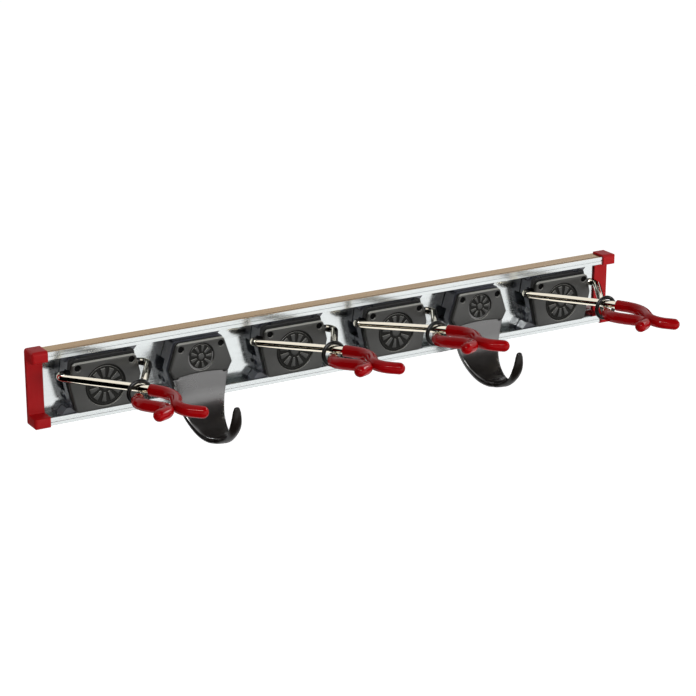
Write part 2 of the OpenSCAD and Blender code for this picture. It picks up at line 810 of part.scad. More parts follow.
rail();
left_end_cap();
right_end_cap();
at_clamp(1) clamp_base();  // clamp_1_base
at_clamp(1) clamp_cover();  // clamp_1_cover
at_clamp(1) clamp_screws();  // clamp_1_screws
at_clamp(1) clamp_pins();  // clamp_1_pins
at_clamp(1) ring();  // clamp_1_ring
at_clamp(1) left_arm();  // clamp_1_left_arm
at_clamp(1) left_sleeve();  // clamp_1_left_sleeve
at_clamp(1) left_grip();  // clamp_1_left_grip
at_clamp(1) right_arm();  // clamp_1_right_arm
at_clamp(1) right_sleeve();  // clamp_1_right_sleeve
at_clamp(1) right_grip();  // clamp_1_right_grip
at_clamp(2) clamp_base();  // clamp_2_base
at_clamp(2) clamp_cover();  // clamp_2_cover
at_clamp(2) clamp_screws();  // clamp_2_screws
at_clamp(2) clamp_pins();  // clamp_2_pins
at_clamp(2) ring();  // clamp_2_ring
at_clamp(2) left_arm();  // clamp_2_left_arm
at_clamp(2) left_sleeve();  // clamp_2_left_sleeve
at_clamp(2) left_grip();  // clamp_2_left_grip
at_clamp(2) right_arm();  // clamp_2_right_arm
at_clamp(2) right_sleeve();  // clamp_2_right_sleeve
at_clamp(2) right_grip();  // clamp_2_right_grip
at_clamp(3) clamp_base();  // clamp_3_base
at_clamp(3) clamp_cover();  // clamp_3_cover
at_clamp(3) clamp_screws();  // clamp_3_screws
at_clamp(3) clamp_pins();  // clamp_3_pins
at_clamp(3) ring();  // clamp_3_ring
at_clamp(3) left_arm();  // clamp_3_left_arm
at_clamp(3) left_sleeve();  // clamp_3_left_sleeve
at_clamp(3) left_grip();  // clamp_3_left_grip
at_clamp(3) right_arm();  // clamp_3_right_arm
at_clamp(3) right_sleeve();  // clamp_3_right_sleeve
at_clamp(3) right_grip();  // clamp_3_right_grip
at_clamp(4) clamp_base();  // clamp_4_base
at_clamp(4) clamp_cover();  // clamp_4_cover
at_clamp(4) clamp_screws();  // clamp_4_screws
at_clamp(4) clamp_pins();  // clamp_4_pins
at_clamp(4) ring();  // clamp_4_ring
at_clamp(4) left_arm();  // clamp_4_left_arm
at_clamp(4) left_sleeve();  // clamp_4_left_sleeve
at_clamp(4) left_grip();  // clamp_4_left_grip
at_clamp(4) right_arm();  // clamp_4_right_arm
at_clamp(4) right_sleeve();  // clamp_4_right_sleeve
at_clamp(4) right_grip();  // clamp_4_right_grip
at_hook(1) hook_base();  // hook_1_base
at_hook(1) hook_cover();  // hook_1_cover
at_hook(1) hook_screws();  // hook_1_screws
at_hook(1) hook_body();  // hook_1_body
at_hook(2) hook_base();  // hook_2_base
at_hook(2) hook_cover();  // hook_2_cover
at_hook(2) hook_screws();  // hook_2_screws
at_hook(2) hook_body();  // hook_2_body
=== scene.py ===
"""A wall rack for tools: an aluminium rail with red end caps, four sliding clamps and two sliding hooks.

The rack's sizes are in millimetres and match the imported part. Its meshes are made in metres, and the
studio is laid out in metres.
"""

import logging
import math
from dataclasses import dataclass, field
from enum import Enum
from typing import Any, Callable, Sequence

import bmesh
import bpy
from mathutils import Matrix, Vector


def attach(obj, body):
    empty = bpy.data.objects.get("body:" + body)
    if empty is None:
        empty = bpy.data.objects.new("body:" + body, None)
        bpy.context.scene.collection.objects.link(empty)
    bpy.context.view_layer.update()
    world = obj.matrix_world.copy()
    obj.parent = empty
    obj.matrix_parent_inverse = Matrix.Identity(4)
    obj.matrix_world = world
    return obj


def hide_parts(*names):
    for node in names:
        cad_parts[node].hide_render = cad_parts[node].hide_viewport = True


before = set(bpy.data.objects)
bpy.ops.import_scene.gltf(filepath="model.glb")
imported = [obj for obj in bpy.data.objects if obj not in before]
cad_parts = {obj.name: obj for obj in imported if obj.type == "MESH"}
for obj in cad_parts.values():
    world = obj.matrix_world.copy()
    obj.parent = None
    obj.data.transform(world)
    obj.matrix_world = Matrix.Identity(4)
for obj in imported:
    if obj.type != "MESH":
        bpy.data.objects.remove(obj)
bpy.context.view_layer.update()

log = logging.getLogger("clamp_rack")

MM = 0.001

# Edges that turn by more than this many degrees are shaded sharp.
SHARP_ANGLE = 40.0
# Vertices nearer to each other than this are one vertex, in millimetres.
WELD_REACH = 0.005
# Neighbouring faces within this many degrees are one face.
FLAT_ANGLE = 0.5
# Width of the softened edges of a holder's base, in millimetres.
HOUSING_EDGE = 0.3
# Length over which a rod or a hook changes its size at a shoulder, in millimetres.
SHOULDER_RUN = 0.05
# Numbers of a piece's materials: its own, and a second one, for the painted shade in the hollows and on
# the back of a cover and for the worn finger of a hook.
MAIN, SECOND = 0, 1

Colour = tuple[float, float, float, float]
Profile = list[tuple[float, float]]
Ring = list[bmesh.types.BMVert]
Build = Callable[[bmesh.types.BMesh], None]
Shaded = tuple[bpy.types.Material, bpy.types.NodeTree, bpy.types.Node]


class Slot(Enum):
    """Material slots of the record."""

    HOUSING = "nylon_black"
    ROD = "rod_chrome"
    RUBBER = "rubber_black"
    GRIP = "grip_red"
    HOOK = "hook_black"


# ---------------------------------------------------------------- shared helpers


def linear(hex_colour: str) -> Colour:
    """Turns an sRGB hex colour into linear light.

    Args:
        hex_colour: Six hex digits, such as "aa2229".

    Returns:
        Linear red, green and blue, and an alpha of 1.
    """
    channels = [int(hex_colour[i:i + 2], 16) / 255 for i in (0, 2, 4)]
    red, green, blue = (c / 12.92 if c <= 0.04045 else ((c + 0.055) / 1.055) ** 2.4 for c in channels)
    return (red, green, blue, 1.0)


def add_node(tree: bpy.types.NodeTree, kind: str, settings: dict[Any, Any] | None = None,
             links: dict[Any, bpy.types.NodeSocket] | None = None) -> bpy.types.Node:
    """Adds one shader node.

    Args:
        tree: Node tree that the node goes into.
        kind: Blender's identifier of the node.
        settings: Attribute names, input names or input numbers, with the value that each one gets.
        links: Input names or numbers, with the output socket that feeds each one.

    Returns:
        The new node.
    """
    node = tree.nodes.new(kind)
    for name, value in (settings or {}).items():
        if isinstance(name, str) and hasattr(node, name):
            setattr(node, name, value)
        else:
            node.inputs[name].default_value = value
    for name, socket in (links or {}).items():
        tree.links.new(socket, node.inputs[name])
    return node


def new_material(name: str, settings: dict[str, Any]) -> Shaded:
    """Makes a material with one Principled shader.

    Args:
        name: Name of the material.
        settings: Constant inputs of the shader.

    Returns:
        The material, its node tree and its shader.
    """
    material = bpy.data.materials.new(name)
    material.use_nodes = True
    tree = material.node_tree
    tree.nodes.clear()
    shader = add_node(tree, "ShaderNodeBsdfPrincipled", settings)
    add_node(tree, "ShaderNodeOutputMaterial", links={"Surface": shader.outputs["BSDF"]})
    return material, tree, shader


def add_object(name: str, data: bpy.types.ID) -> bpy.types.Object:
    """Makes an object and puts it into the scene.

    Args:
        name: Name of the object.
        data: Its mesh, lamp or camera.

    Returns:
        The object.
    """
    thing = bpy.data.objects.new(name, data)
    bpy.context.scene.collection.objects.link(thing)
    return thing


def dress(piece: bpy.types.Object, material: bpy.types.Material) -> None:
    """Gives a piece one material in place of any that it had."""
    piece.data.materials.clear()
    piece.data.materials.append(material)


def ease_edges(piece: bpy.types.Object, width: float, segments: int = 3, angle: float = 35) -> None:
    """Rounds the hard edges of a piece by a real width.

    Args:
        piece: Piece to round.
        width: Width of the rounding in millimetres.
        segments: Steps across the rounding.
        angle: Smallest angle between two faces that counts as an edge, in degrees.
    """
    custom = piece.data.attributes.get("custom_normal")
    if custom:
        piece.data.attributes.remove(custom)
    piece.data.shade_smooth()
    weld = piece.modifiers.new("joined", "WELD")
    weld.merge_threshold = WELD_REACH * MM
    flat = piece.modifiers.new("flat_faces_merged", "DECIMATE")
    flat.decimate_type = "DISSOLVE"
    flat.angle_limit = math.radians(FLAT_ANGLE)
    bevel = piece.modifiers.new("eased", "BEVEL")
    bevel.width = width * MM
    bevel.segments = segments
    bevel.limit_method = "ANGLE"
    bevel.angle_limit = math.radians(angle)
    bevel.harden_normals = True


def mesh_from(name: str, build: Build, *materials: bpy.types.Material) -> bpy.types.Mesh:
    """Runs one builder on an empty mesh and tidies what it made.

    Args:
        name: Name of the mesh.
        build: Function that adds vertices and faces, in millimetres.
        materials: Materials of the mesh, in the order of their numbers.

    Returns:
        The mesh in metres, with outward normals.
    """
    shape = bmesh.new()
    build(shape)
    bmesh.ops.recalc_face_normals(shape, faces=shape.faces)
    bmesh.ops.scale(shape, vec=(MM, MM, MM), verts=shape.verts)
    mesh = bpy.data.meshes.new(name)
    shape.to_mesh(mesh)
    shape.free()
    for material in materials:
        mesh.materials.append(material)
    mesh.shade_smooth()
    mesh.set_sharp_from_angle(angle=math.radians(SHARP_ANGLE))
    return mesh


def skin(shape: bmesh.types.BMesh, rings: Sequence[Ring], closed: bool, tone: int = MAIN) -> None:
    """Joins rings of vertices with faces. A ring of one vertex is a pole.

    Args:
        shape: Mesh that the faces go into.
        rings: Rings in order, each of the same length or of one vertex.
        closed: Whether the last ring joins the first.
        tone: Number of the material that the faces get.
    """
    pairs = list(zip(rings, rings[1:]))
    if closed:
        pairs.append((rings[-1], rings[0]))
    for ring, after in pairs:
        count = max(len(ring), len(after))
        for i in range(count):
            j = (i + 1) % count
            corners = [ring[i % len(ring)], ring[j % len(ring)],
                       after[j % len(after)], after[i % len(after)]]
            shape.faces.new(list(dict.fromkeys(corners))).material_index = tone


def revolve(shape: bmesh.types.BMesh, place: Matrix, loop: Profile, steps: int) -> None:
    """Turns a closed loop about the local Z axis.

    Args:
        shape: Mesh that the ring goes into.
        place: Matrix from the local frame to the rack's, in millimetres.
        loop: Radius and height of each corner of the loop.
        steps: Divisions of the full turn.
    """
    rings = []
    for i in range(steps):
        turn = 2 * math.pi * i / steps
        rings.append([shape.verts.new(place @ Vector((r * math.cos(turn), r * math.sin(turn), z)))
                      for r, z in loop])
    skin(shape, rings, closed=True)


def rounded(corners: Sequence[tuple[float, float, float]], steps: int = 8) -> Profile:
    """Rounds the corners of an outline.

    Args:
        corners: Place and radius of each corner, anticlockwise.
        steps: Steps round each corner.

    Returns:
        The rounded outline.
    """
    loop: Profile = []
    for i, (x, y, radius) in enumerate(corners):
        here = Vector((x, y))
        back = (Vector(corners[i - 1][:2]) - here).normalized()
        on = (Vector(corners[(i + 1) % len(corners)][:2]) - here).normalized()
        half = back.angle(on) / 2
        centre = here + (back + on).normalized() * radius / math.sin(half)
        spoke = here + back * radius / math.tan(half) - centre
        sweep = math.copysign(math.pi - 2 * half, on.cross(back))
        for k in range(steps + 1):
            loop.append(tuple(centre + Matrix.Rotation(sweep * k / steps, 2) @ spoke))
    return loop


def facing_front(centre_x: float) -> Matrix:
    """Frame whose Z leads from the wall to the front, and whose X and Y are the rack's X and Z."""
    return Matrix.Translation((centre_x, 0, 0)) @ Matrix.Rotation(math.pi / 2, 4, "X")


def circle(x: float, y: float, radius: float, steps: int) -> Profile:
    """Lays a circle out as an anticlockwise outline."""
    turns = (2 * math.pi * i / steps for i in range(steps))
    return [(x + radius * math.cos(t), y + radius * math.sin(t)) for t in turns]


def inset(loop: Profile, by: float) -> Profile:
    """Moves every side of an anticlockwise outline inwards.

    Args:
        loop: Outline.
        by: Distance that each side moves. A negative one moves it outwards.

    Returns:
        The moved outline, with as many corners.
    """
    moved: Profile = []
    for i, (x, y) in enumerate(loop):
        along = (Vector((x, y)) - Vector(loop[i - 1])).normalized()
        on = (Vector(loop[(i + 1) % len(loop)]) - Vector((x, y))).normalized()
        turn_in, turn_on = Vector((-along.y, along.x)), Vector((-on.y, on.x))
        shift = (turn_in + turn_on) * by / (1 + turn_in.dot(turn_on))
        moved.append((x + shift.x, y + shift.y))
    return moved


def eased(loop: Profile, wall: float, face: float, radius: float, sunk: bool = False,
          steps: int = 4) -> list[tuple[Profile, float]]:
    """Lays out the rings of a wall that turns into a face with a rounded edge.

    Args:
        loop: Outline of the wall.
        wall: Height where the wall starts.
        face: Height of the face.
        radius: Radius of the edge.
        sunk: Whether the face lies outside the outline, as round a pocket.
        steps: Steps across the edge.

    Returns:
        Outlines with their heights, from the wall to the face.
    """
    up = math.copysign(1, face - wall)
    side = -1 if sunk else 1
    rings = [(loop, wall)]
    for k in range(steps + 1):
        a = math.pi / 2 * k / steps
        height = face - up * radius * (1 - math.sin(a))
        rings.append((inset(loop, side * radius * (1 - math.cos(a))), height))
    return rings


class Moulding:
    """A flat moulded body, drawn as walls and faces in a local frame whose Z is the height."""

    def __init__(self, shape: bmesh.types.BMesh, place: Matrix) -> None:
        """Starts a moulding.

        Args:
            shape: Mesh that it goes into.
            place: Matrix from the local frame to the rack's, in millimetres.
        """
        self.shape = shape
        self.place = place

    def wall(self, rings: Sequence[tuple[Profile, float]], tone: int = MAIN,
             start: Ring | None = None) -> tuple[Ring, Ring]:
        """Draws one wall.

        Args:
            rings: Outlines with their heights, all of the same length.
            tone: Number of the material that the wall gets.
            start: Vertices of an earlier wall that this one goes on from.

        Returns:
            The vertices of its first and its last ring.
        """
        made = [start] if start else []
        made += [[self.shape.verts.new(self.place @ Vector((x, y, height))) for x, y in loop]
                 for loop, height in rings]
        skin(self.shape, made, closed=False, tone=tone)
        return made[0], made[-1]

    def face(self, *loops: Ring, tone: int = MAIN) -> None:
        """Fills the area inside the first ring of vertices and outside the others.

        Args:
            loops: Rings of vertices.
            tone: Number of the material that the face gets.
        """
        if len(loops) == 1:
            self.shape.faces.new(loops[0]).material_index = tone
            return
        edges = []
        for loop in loops:
            for i, vertex in enumerate(loop):
                edge = self.shape.edges.get((vertex, loop[i - 1]))
                edges.append(edge or self.shape.edges.new((vertex, loop[i - 1])))
        filled = bmesh.ops.triangle_fill(self.shape, use_beauty=True, use_dissolve=False,
                                         edges=edges)
        for part in filled["geom"]:
            if isinstance(part, bmesh.types.BMFace):
                part.material_index = tone

    def pad(self, loop: Profile, base: float, top: float, radius: float) -> None:
        """Draws a raised pad with a rounded upper edge.

        Args:
            loop: Outline of the pad.
            base: Height of its underside.
            top: Height of its top.
            radius: Radius of its upper edge.
        """
        low, high = self.wall(eased(loop, base, top, radius, steps=3))
        self.face(low)
        self.face(high)


def carved(mesh: bpy.types.Mesh, build: Build, inside: bpy.types.Material) -> bpy.types.Mesh:
    """Cuts hollows out of a mesh.

    Args:
        mesh: Mesh to cut.
        build: Function that adds the closed shapes to cut away, in millimetres.
        inside: Material of the hollows.

    Returns:
        A new mesh.
    """
    body = add_object("uncut", mesh)
    tool = add_object("cutter", mesh_from("cutter", build, inside))
    cut = body.modifiers.new("cut", "BOOLEAN")
    cut.object = tool
    cut.solver = "EXACT"
    cut.use_self = True
    cut.material_mode = "TRANSFER"
    evaluated = body.evaluated_get(bpy.context.evaluated_depsgraph_get())
    made = bpy.data.meshes.new_from_object(evaluated)
    for thing in (body, tool):
        bpy.data.objects.remove(thing)
    made.set_sharp_from_angle(angle=math.radians(SHARP_ANGLE))
    return made


def add_piece(node: str, mesh: bpy.types.Mesh, body: str) -> None:
    """Adds a native piece to a moving body, in place of a CAD node.

    Args:
        node: CAD node that it replaces.
        mesh: Its mesh.
        body: Body that it rides on.
    """
    piece = add_object(f"{node}_dressed", mesh)
    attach(piece, body)
    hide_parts(node)
    log.info("%s made", piece.name)


# ---------------------------------------------------------------- finishes


@dataclass(frozen=True)
class ExtrudedAluminium:
    """Aluminium profile: bright web and lips with fine die lines, and a painted tan reflection on the top
    face.

    Attributes:
        bright: Colour of the drawn metal.
        painted_top_reflection: Colour of the painted reflection on the top face.
        streak_mm: Spacing of the die lines.
        streak_length_mm: Length over which a die line changes.
        streak_depth_mm: Depth of the die lines.
        streak_span: Part of the noise that the streaks use.
        gloss: Least and greatest roughness of the drawn faces.
        bump: Strength of the die lines' relief.
        oxide_roughness: Roughness of the back.
        top_z_mm: Height above which a face that looks up gets the painted reflection.
        facing: How squarely a face has to look up or back to count as the top or the back.
    """

    bright: str = "bfc3c3"
    painted_top_reflection: str = "977747"
    streak_mm: float = 0.7
    streak_length_mm: float = 160.0
    streak_depth_mm: float = 0.012
    streak_span: tuple[float, float] = (0.3, 0.7)
    gloss: tuple[float, float] = (0.1, 0.24)
    bump: float = 0.4
    oxide_roughness: float = 0.6
    top_z_mm: float = 26.5
    facing: float = 0.75

    def make(self) -> bpy.types.Material:
        """Builds the material.

        Returns:
            A metal that is smooth across its width and streaked along its length.
        """
        # Extruded, then drawn through a die: the eye sees long faint streaks in a clear reflection.
        # The back lies against the wall and keeps the grey oxide of the press, so it looks matt.
        material, tree, shader = new_material("extruded_drawn_aluminium", {"Metallic": 1.0})
        place = add_node(tree, "ShaderNodeTexCoord")
        point = add_node(tree, "ShaderNodeSeparateXYZ", links={"Vector": place.outputs["Object"]})
        looks = add_node(tree, "ShaderNodeSeparateXYZ", links={"Vector": place.outputs["Normal"]})

        across = 1 / (self.streak_mm * MM)
        streaks = add_node(tree, "ShaderNodeMapping",
                           {"Scale": (1 / (self.streak_length_mm * MM), across, across)},
                           {"Vector": place.outputs["Object"]})
        noise = add_node(tree, "ShaderNodeTexNoise", {"Scale": 1.0, "Detail": 4.0},
                         {"Vector": streaks.outputs["Vector"]})
        rough = add_node(tree, "ShaderNodeMapRange",
                         {"From Min": self.streak_span[0], "From Max": self.streak_span[1],
                          "To Min": self.gloss[0], "To Max": self.gloss[1]},
                         {"Value": noise.outputs["Fac"]})
        bump = add_node(tree, "ShaderNodeBump",
                        {"Strength": self.bump, "Distance": self.streak_depth_mm * MM},
                        {"Height": noise.outputs["Fac"]})

        # Faces at the top that look up are painted tan: a painted reflection of warm surroundings, not a
        # tint of the metal.
        high = add_node(tree, "ShaderNodeMath", {"operation": "GREATER_THAN", 1: self.top_z_mm * MM},
                        {0: point.outputs["Z"]})
        up = add_node(tree, "ShaderNodeMath", {"operation": "GREATER_THAN", 1: self.facing},
                      {0: looks.outputs["Z"]})
        top = add_node(tree, "ShaderNodeMath", {"operation": "MULTIPLY"},
                       {0: high.outputs[0], 1: up.outputs[0]})
        colour = add_node(tree, "ShaderNodeMix",
                          {"data_type": "RGBA", 6: linear(self.bright), 7: linear(self.painted_top_reflection)},
                          {0: top.outputs[0]})
        drawn = add_node(tree, "ShaderNodeMath", {"operation": "LESS_THAN", 1: self.facing},
                         {0: looks.outputs["Y"]})
        dull = add_node(tree, "ShaderNodeMapRange", {"To Min": self.oxide_roughness},
                        {"Value": drawn.outputs[0], "To Max": rough.outputs["Result"]})

        tree.links.new(colour.outputs[2], shader.inputs["Base Color"])
        tree.links.new(drawn.outputs[0], shader.inputs["Metallic"])
        tree.links.new(dull.outputs["Result"], shader.inputs["Roughness"])
        tree.links.new(bump.outputs["Normal"], shader.inputs["Normal"])
        return material


@dataclass(frozen=True)
class MouldedPlastic:
    """An injection-moulded plastic with the fine grain of its mould.

    Attributes:
        name: Name of the material.
        colour: Its colour.
        shade: Its colour where it flowed in last.
        roughness: Its mean roughness.
        grain_mm: Size of the mould's grain.
        grain_depth_mm: Depth of the grain.
        coat: Weight of the clear gloss over it.
        coat_roughness: Roughness of that gloss.
        ior: Index of refraction.
        specular: Level of its reflection, 0.5 being that of a clean surface.
        flow_mm: Size of the flow marks that change its colour and gloss.
        gloss_change: Share by which the flow marks change its roughness.
        bump: Strength of the grain's relief.
        painted_shade_depth_mm: Depth in front of which it is painted black, as painted shade in a narrow
            gap.
        painted_shade_colour: Colour of that painted shade.
        painted_highlight: Colour painted on faces and edges that look up, a painted highlight.
        painted_highlight_span: How squarely a face looks up where that painted highlight starts and where
            it is full.
    """

    name: str
    colour: str
    shade: str
    roughness: float
    grain_mm: float
    grain_depth_mm: float
    coat: float = 0.0
    coat_roughness: float = 0.22
    ior: float = 1.5
    specular: float = 0.5
    flow_mm: float = 50 / 3
    gloss_change: float = 0.15
    bump: float = 0.5
    painted_shade_depth_mm: float | None = None
    painted_shade_colour: str = "040404"
    painted_highlight: str | None = None
    painted_highlight_span: tuple[float, float] = (0.3, 0.6)

    def make(self) -> bpy.types.Material:
        """Builds the material.

        Returns:
            A dielectric whose colour and gloss vary a little over its grain.
        """
        material, tree, shader = new_material(
            self.name, {"IOR": self.ior, "Coat Weight": self.coat,
                        "Coat Roughness": self.coat_roughness, "Specular IOR Level": self.specular})
        place = add_node(tree, "ShaderNodeTexCoord")
        grain, flow = (add_node(tree, "ShaderNodeTexNoise", {"Scale": 1 / (size * MM), "Detail": detail},
                                {"Vector": place.outputs["Object"]})
                       for size, detail in ((self.grain_mm, 3.0), (self.flow_mm, 2.0)))
        colour = add_node(tree, "ShaderNodeMix",
                          {"data_type": "RGBA", 6: linear(self.colour), 7: linear(self.shade)},
                          {0: flow.outputs["Fac"]})
        rough = add_node(tree, "ShaderNodeMapRange",
                         {"To Min": self.roughness * (1 - self.gloss_change),
                          "To Max": self.roughness * (1 + self.gloss_change)},
                         {"Value": flow.outputs["Fac"]})
        bump = add_node(tree, "ShaderNodeBump",
                        {"Strength": self.bump, "Distance": self.grain_depth_mm * MM},
                        {"Height": grain.outputs["Fac"]})

        # Faces that look up are painted lighter: a painted highlight.
        if self.painted_highlight is not None:
            looks = add_node(tree, "ShaderNodeSeparateXYZ", links={"Vector": place.outputs["Normal"]})
            upward = add_node(tree, "ShaderNodeMapRange",
                              {"From Min": self.painted_highlight_span[0], "From Max": self.painted_highlight_span[1]},
                              {"Value": looks.outputs["Z"]})
            colour = add_node(tree, "ShaderNodeMix", {"data_type": "RGBA", 7: linear(self.painted_highlight)},
                              {0: upward.outputs["Result"], 6: colour.outputs[2]})
        # Everything in front of the given depth is painted black and fully rough: painted shade in the gap
        # round a cover.
        if self.painted_shade_depth_mm is not None:
            point = add_node(tree, "ShaderNodeSeparateXYZ", links={"Vector": place.outputs["Object"]})
            deep = add_node(tree, "ShaderNodeMath",
                            {"operation": "LESS_THAN", 1: -self.painted_shade_depth_mm * MM},
                            {0: point.outputs["Y"]})
            colour = add_node(tree, "ShaderNodeMix", {"data_type": "RGBA", 7: linear(self.painted_shade_colour)},
                              {0: deep.outputs[0], 6: colour.outputs[2]})
            rough = add_node(tree, "ShaderNodeMapRange", {"To Max": 1.0},
                             {"Value": deep.outputs[0], "To Min": rough.outputs["Result"]})

        tree.links.new(colour.outputs[2], shader.inputs["Base Color"])
        tree.links.new(rough.outputs["Result"], shader.inputs["Roughness"])
        tree.links.new(bump.outputs["Normal"], shader.inputs["Normal"])
        return material


@dataclass(frozen=True)
class PlatedSteel:
    """Steel with a metal skin: bright nickel on the rods, black oxide on the screws.

    Attributes:
        name: Name of the material.
        colour: Colour of the skin.
        roughness: Its mean roughness.
        wave_mm: Size of the waves left by drawing the steel.
        wave_depth_mm: Depth of the waves.
        gloss_change: Share by which the waves change the roughness.
        bump: Strength of the waves' relief.
    """

    name: str
    colour: str
    roughness: float
    wave_mm: float
    wave_depth_mm: float
    gloss_change: float = 0.3
    bump: float = 0.3

    def make(self) -> bpy.types.Material:
        """Builds the material.

        Returns:
            A metal with a faint waviness under its plating.
        """
        material, tree, shader = new_material(
            self.name, {"Metallic": 1.0, "Base Color": linear(self.colour)})
        place = add_node(tree, "ShaderNodeTexCoord")
        wave = add_node(tree, "ShaderNodeTexNoise", {"Scale": 1 / (self.wave_mm * MM), "Detail": 2.0},
                        {"Vector": place.outputs["Object"]})
        rough = add_node(tree, "ShaderNodeMapRange",
                         {"To Min": self.roughness * (1 - self.gloss_change),
                          "To Max": self.roughness * (1 + self.gloss_change)},
                         {"Value": wave.outputs["Fac"]})
        bump = add_node(tree, "ShaderNodeBump",
                        {"Strength": self.bump, "Distance": self.wave_depth_mm * MM},
                        {"Height": wave.outputs["Fac"]})
        tree.links.new(rough.outputs["Result"], shader.inputs["Roughness"])
        tree.links.new(bump.outputs["Normal"], shader.inputs["Normal"])
        return material


# Glass-filled nylon, moulded in a spark-eroded tool: dark grey, dull, finely grained. Faces and edges that
# look up get a painted highlight.
COVER_NYLON = MouldedPlastic("moulded_glass_filled_nylon", "383835", "30302e", 0.42, 0.35, 0.02,
                             painted_highlight="a2a29b")
# The same nylon from a polished tool, behind the covers: blue black with a satin gloss, and a neck painted
# black as painted shade.
BASE_NYLON = MouldedPlastic("moulded_nylon_base", "484a52", "3e4047", 0.26, 0.5, 0.008, ior=1.6,
                            painted_shade_depth_mm=14.4)
# The same nylon, painted a darker grey with a rough, dull face, on the sunk ground of the emblems and on
# the
# undersides of the covers: painted shade in these hollows, so the rays and the covers' edges stand out.
RECESS_NYLON = MouldedPlastic("painted_shade_recess_nylon", "242422", "1e1e1c", 0.7, 0.35, 0.04,
                              specular=0.12)
# ABS, moulded in a polished tool: clear red with a soft gloss.
CAP_ABS = MouldedPlastic("moulded_red_abs", "b60d13", "a50a10", 0.4, 0.6, 0.008, specular=0.14)
# Plastisol, laid on by hot dipping: thick, smooth and glossy.
GRIP_VINYL = MouldedPlastic("dipped_red_vinyl", "b0070d", "98060b", 0.1, 2.5, 0.02, specular=0.08)
# Nylon, moulded in a polished tool: near black with a clear gloss.
HOOK_NYLON = MouldedPlastic("moulded_glossy_nylon", "1c1613", "15110f", 0.28, 0.8, 0.004, coat=1.0,
                            ior=1.9)
# The same nylon on the finger, dulled by handles that slid over it.
FINGER_NYLON = MouldedPlastic("worn_nylon_finger", "1c1613", "15110f", 0.34, 0.8, 0.004,
                              specular=0.22)
# Nitrile rubber, moulded: black, with a soft sheen.
BAND_RUBBER = MouldedPlastic("moulded_nitrile_rubber", "0b0b0b", "070707", 0.3, 0.5, 0.01,
                             specular=0.3)
# Spring steel rod, bright nickel plated: a mirror with a warm tone.
ROD_NICKEL = PlatedSteel("nickel_plated_steel_rod", "ece4d2", 0.07, 3.0, 0.01)
# Screw steel, black oxide: almost no reflection.
SCREW_OXIDE = PlatedSteel("black_oxide_steel_screw", "101010", 0.5, 0.4, 0.01)


# ---------------------------------------------------------------- bent rods


@dataclass(frozen=True)
class Bend:
    """A straight run and the bend that follows it.

    Attributes:
        run: Length of the straight run.
        roll: Turn of the bend's plane about the rod, in degrees.
        radius: Radius of the bend.
        turn: Angle of the bend in degrees.
    """

    run: float
    roll: float = 0.0
    radius: float = 0.0
    turn: float = 0.0


class BentPath:
    """Centre line of a bent rod, measured by the distance along it."""

    def __init__(self, start: Matrix, bends: Sequence[Bend], mirrored_about: float | None) -> None:
        """Lays the path out.

        Args:
            start: Frame at the start. The path leaves along its local Z.
            bends: Runs and bends in order.
            mirrored_about: X of the plane that mirrors the path, or None.
        """
        self.mirrored_about = mirrored_about
        self.stretches: list[tuple[float, Matrix, float, float]] = []
        self.marks: list[float] = []
        at, along = start.copy(), 0.0
        for bend in bends:
            if bend.run > 0:
                self.stretches.append((along, at.copy(), 0.0, bend.run))
                at = at @ Matrix.Translation((0, 0, bend.run))
                along += bend.run
            if bend.turn > 0:
                roll, turn = math.radians(bend.roll), math.radians(bend.turn)
                plane = at @ Matrix.Rotation(roll, 4, "Z")
                self.stretches.append((along, plane, bend.radius, bend.radius * turn))
                at = (plane @ Matrix.Translation((bend.radius, 0, 0)) @ Matrix.Rotation(turn, 4, "Y")
                      @ Matrix.Translation((-bend.radius, 0, 0)) @ Matrix.Rotation(-roll, 4, "Z"))
                along += bend.radius * turn
            self.marks.append(along)
        self.length = along

    def at(self, distance: float) -> tuple[Vector, Vector]:
        """Finds a place on the path.

        Args:
            distance: Distance along the path. The path goes on straight past its ends.

        Returns:
            The point and the unit direction of travel there.
        """
        begin, place, radius, length = self.stretches[0]
        for stretch in self.stretches:
            if stretch[0] <= distance:
                begin, place, radius, length = stretch
        ahead = distance - begin
        if radius == 0:
            point, heading = Vector((0, 0, ahead)), Vector((0, 0, 1))
        else:
            angle = min(ahead, length) / radius
            heading = Vector((math.sin(angle), 0, math.cos(angle)))
            point = Vector((radius - radius * math.cos(angle), 0, radius * math.sin(angle)))
            point += heading * max(0.0, ahead - length)
        point, heading = place @ point, place.to_3x3() @ heading
        if self.mirrored_about is not None:
            point.x = 2 * self.mirrored_about - point.x
            heading.x = -heading.x
        return point, heading

    def sweep(self, shape: bmesh.types.BMesh, profile: Profile, sides: int, closed: bool = False) -> None:
        """Draws a round body along the path.

        Args:
            shape: Mesh that the body goes into.
            profile: Distance along the path and radius, in order. A radius of 0 closes the body.
            sides: Number of sides of the body.
            closed: Whether the last ring joins the first, as on a tube.
        """
        rings = []
        side = self.at(profile[0][0])[1].orthogonal().normalized()
        for distance, radius in profile:
            point, heading = self.at(distance)
            side = (side - heading * side.dot(heading)).normalized()
            other = heading.cross(side)
            if radius == 0:
                rings.append([shape.verts.new(point)])
                continue
            angles = (2 * math.pi * i / sides for i in range(sides))
            rings.append([shape.verts.new(point + radius * (side * math.cos(a) + other * math.sin(a)))
                          for a in angles])
        skin(shape, rings, closed)


def stations(first: float, last: float, step: float) -> list[float]:
    """Spreads places evenly from first to last, about one step apart, ends included."""
    count = max(1, round(abs(last - first) / step))
    return [first + (last - first) * i / count for i in range(count + 1)]


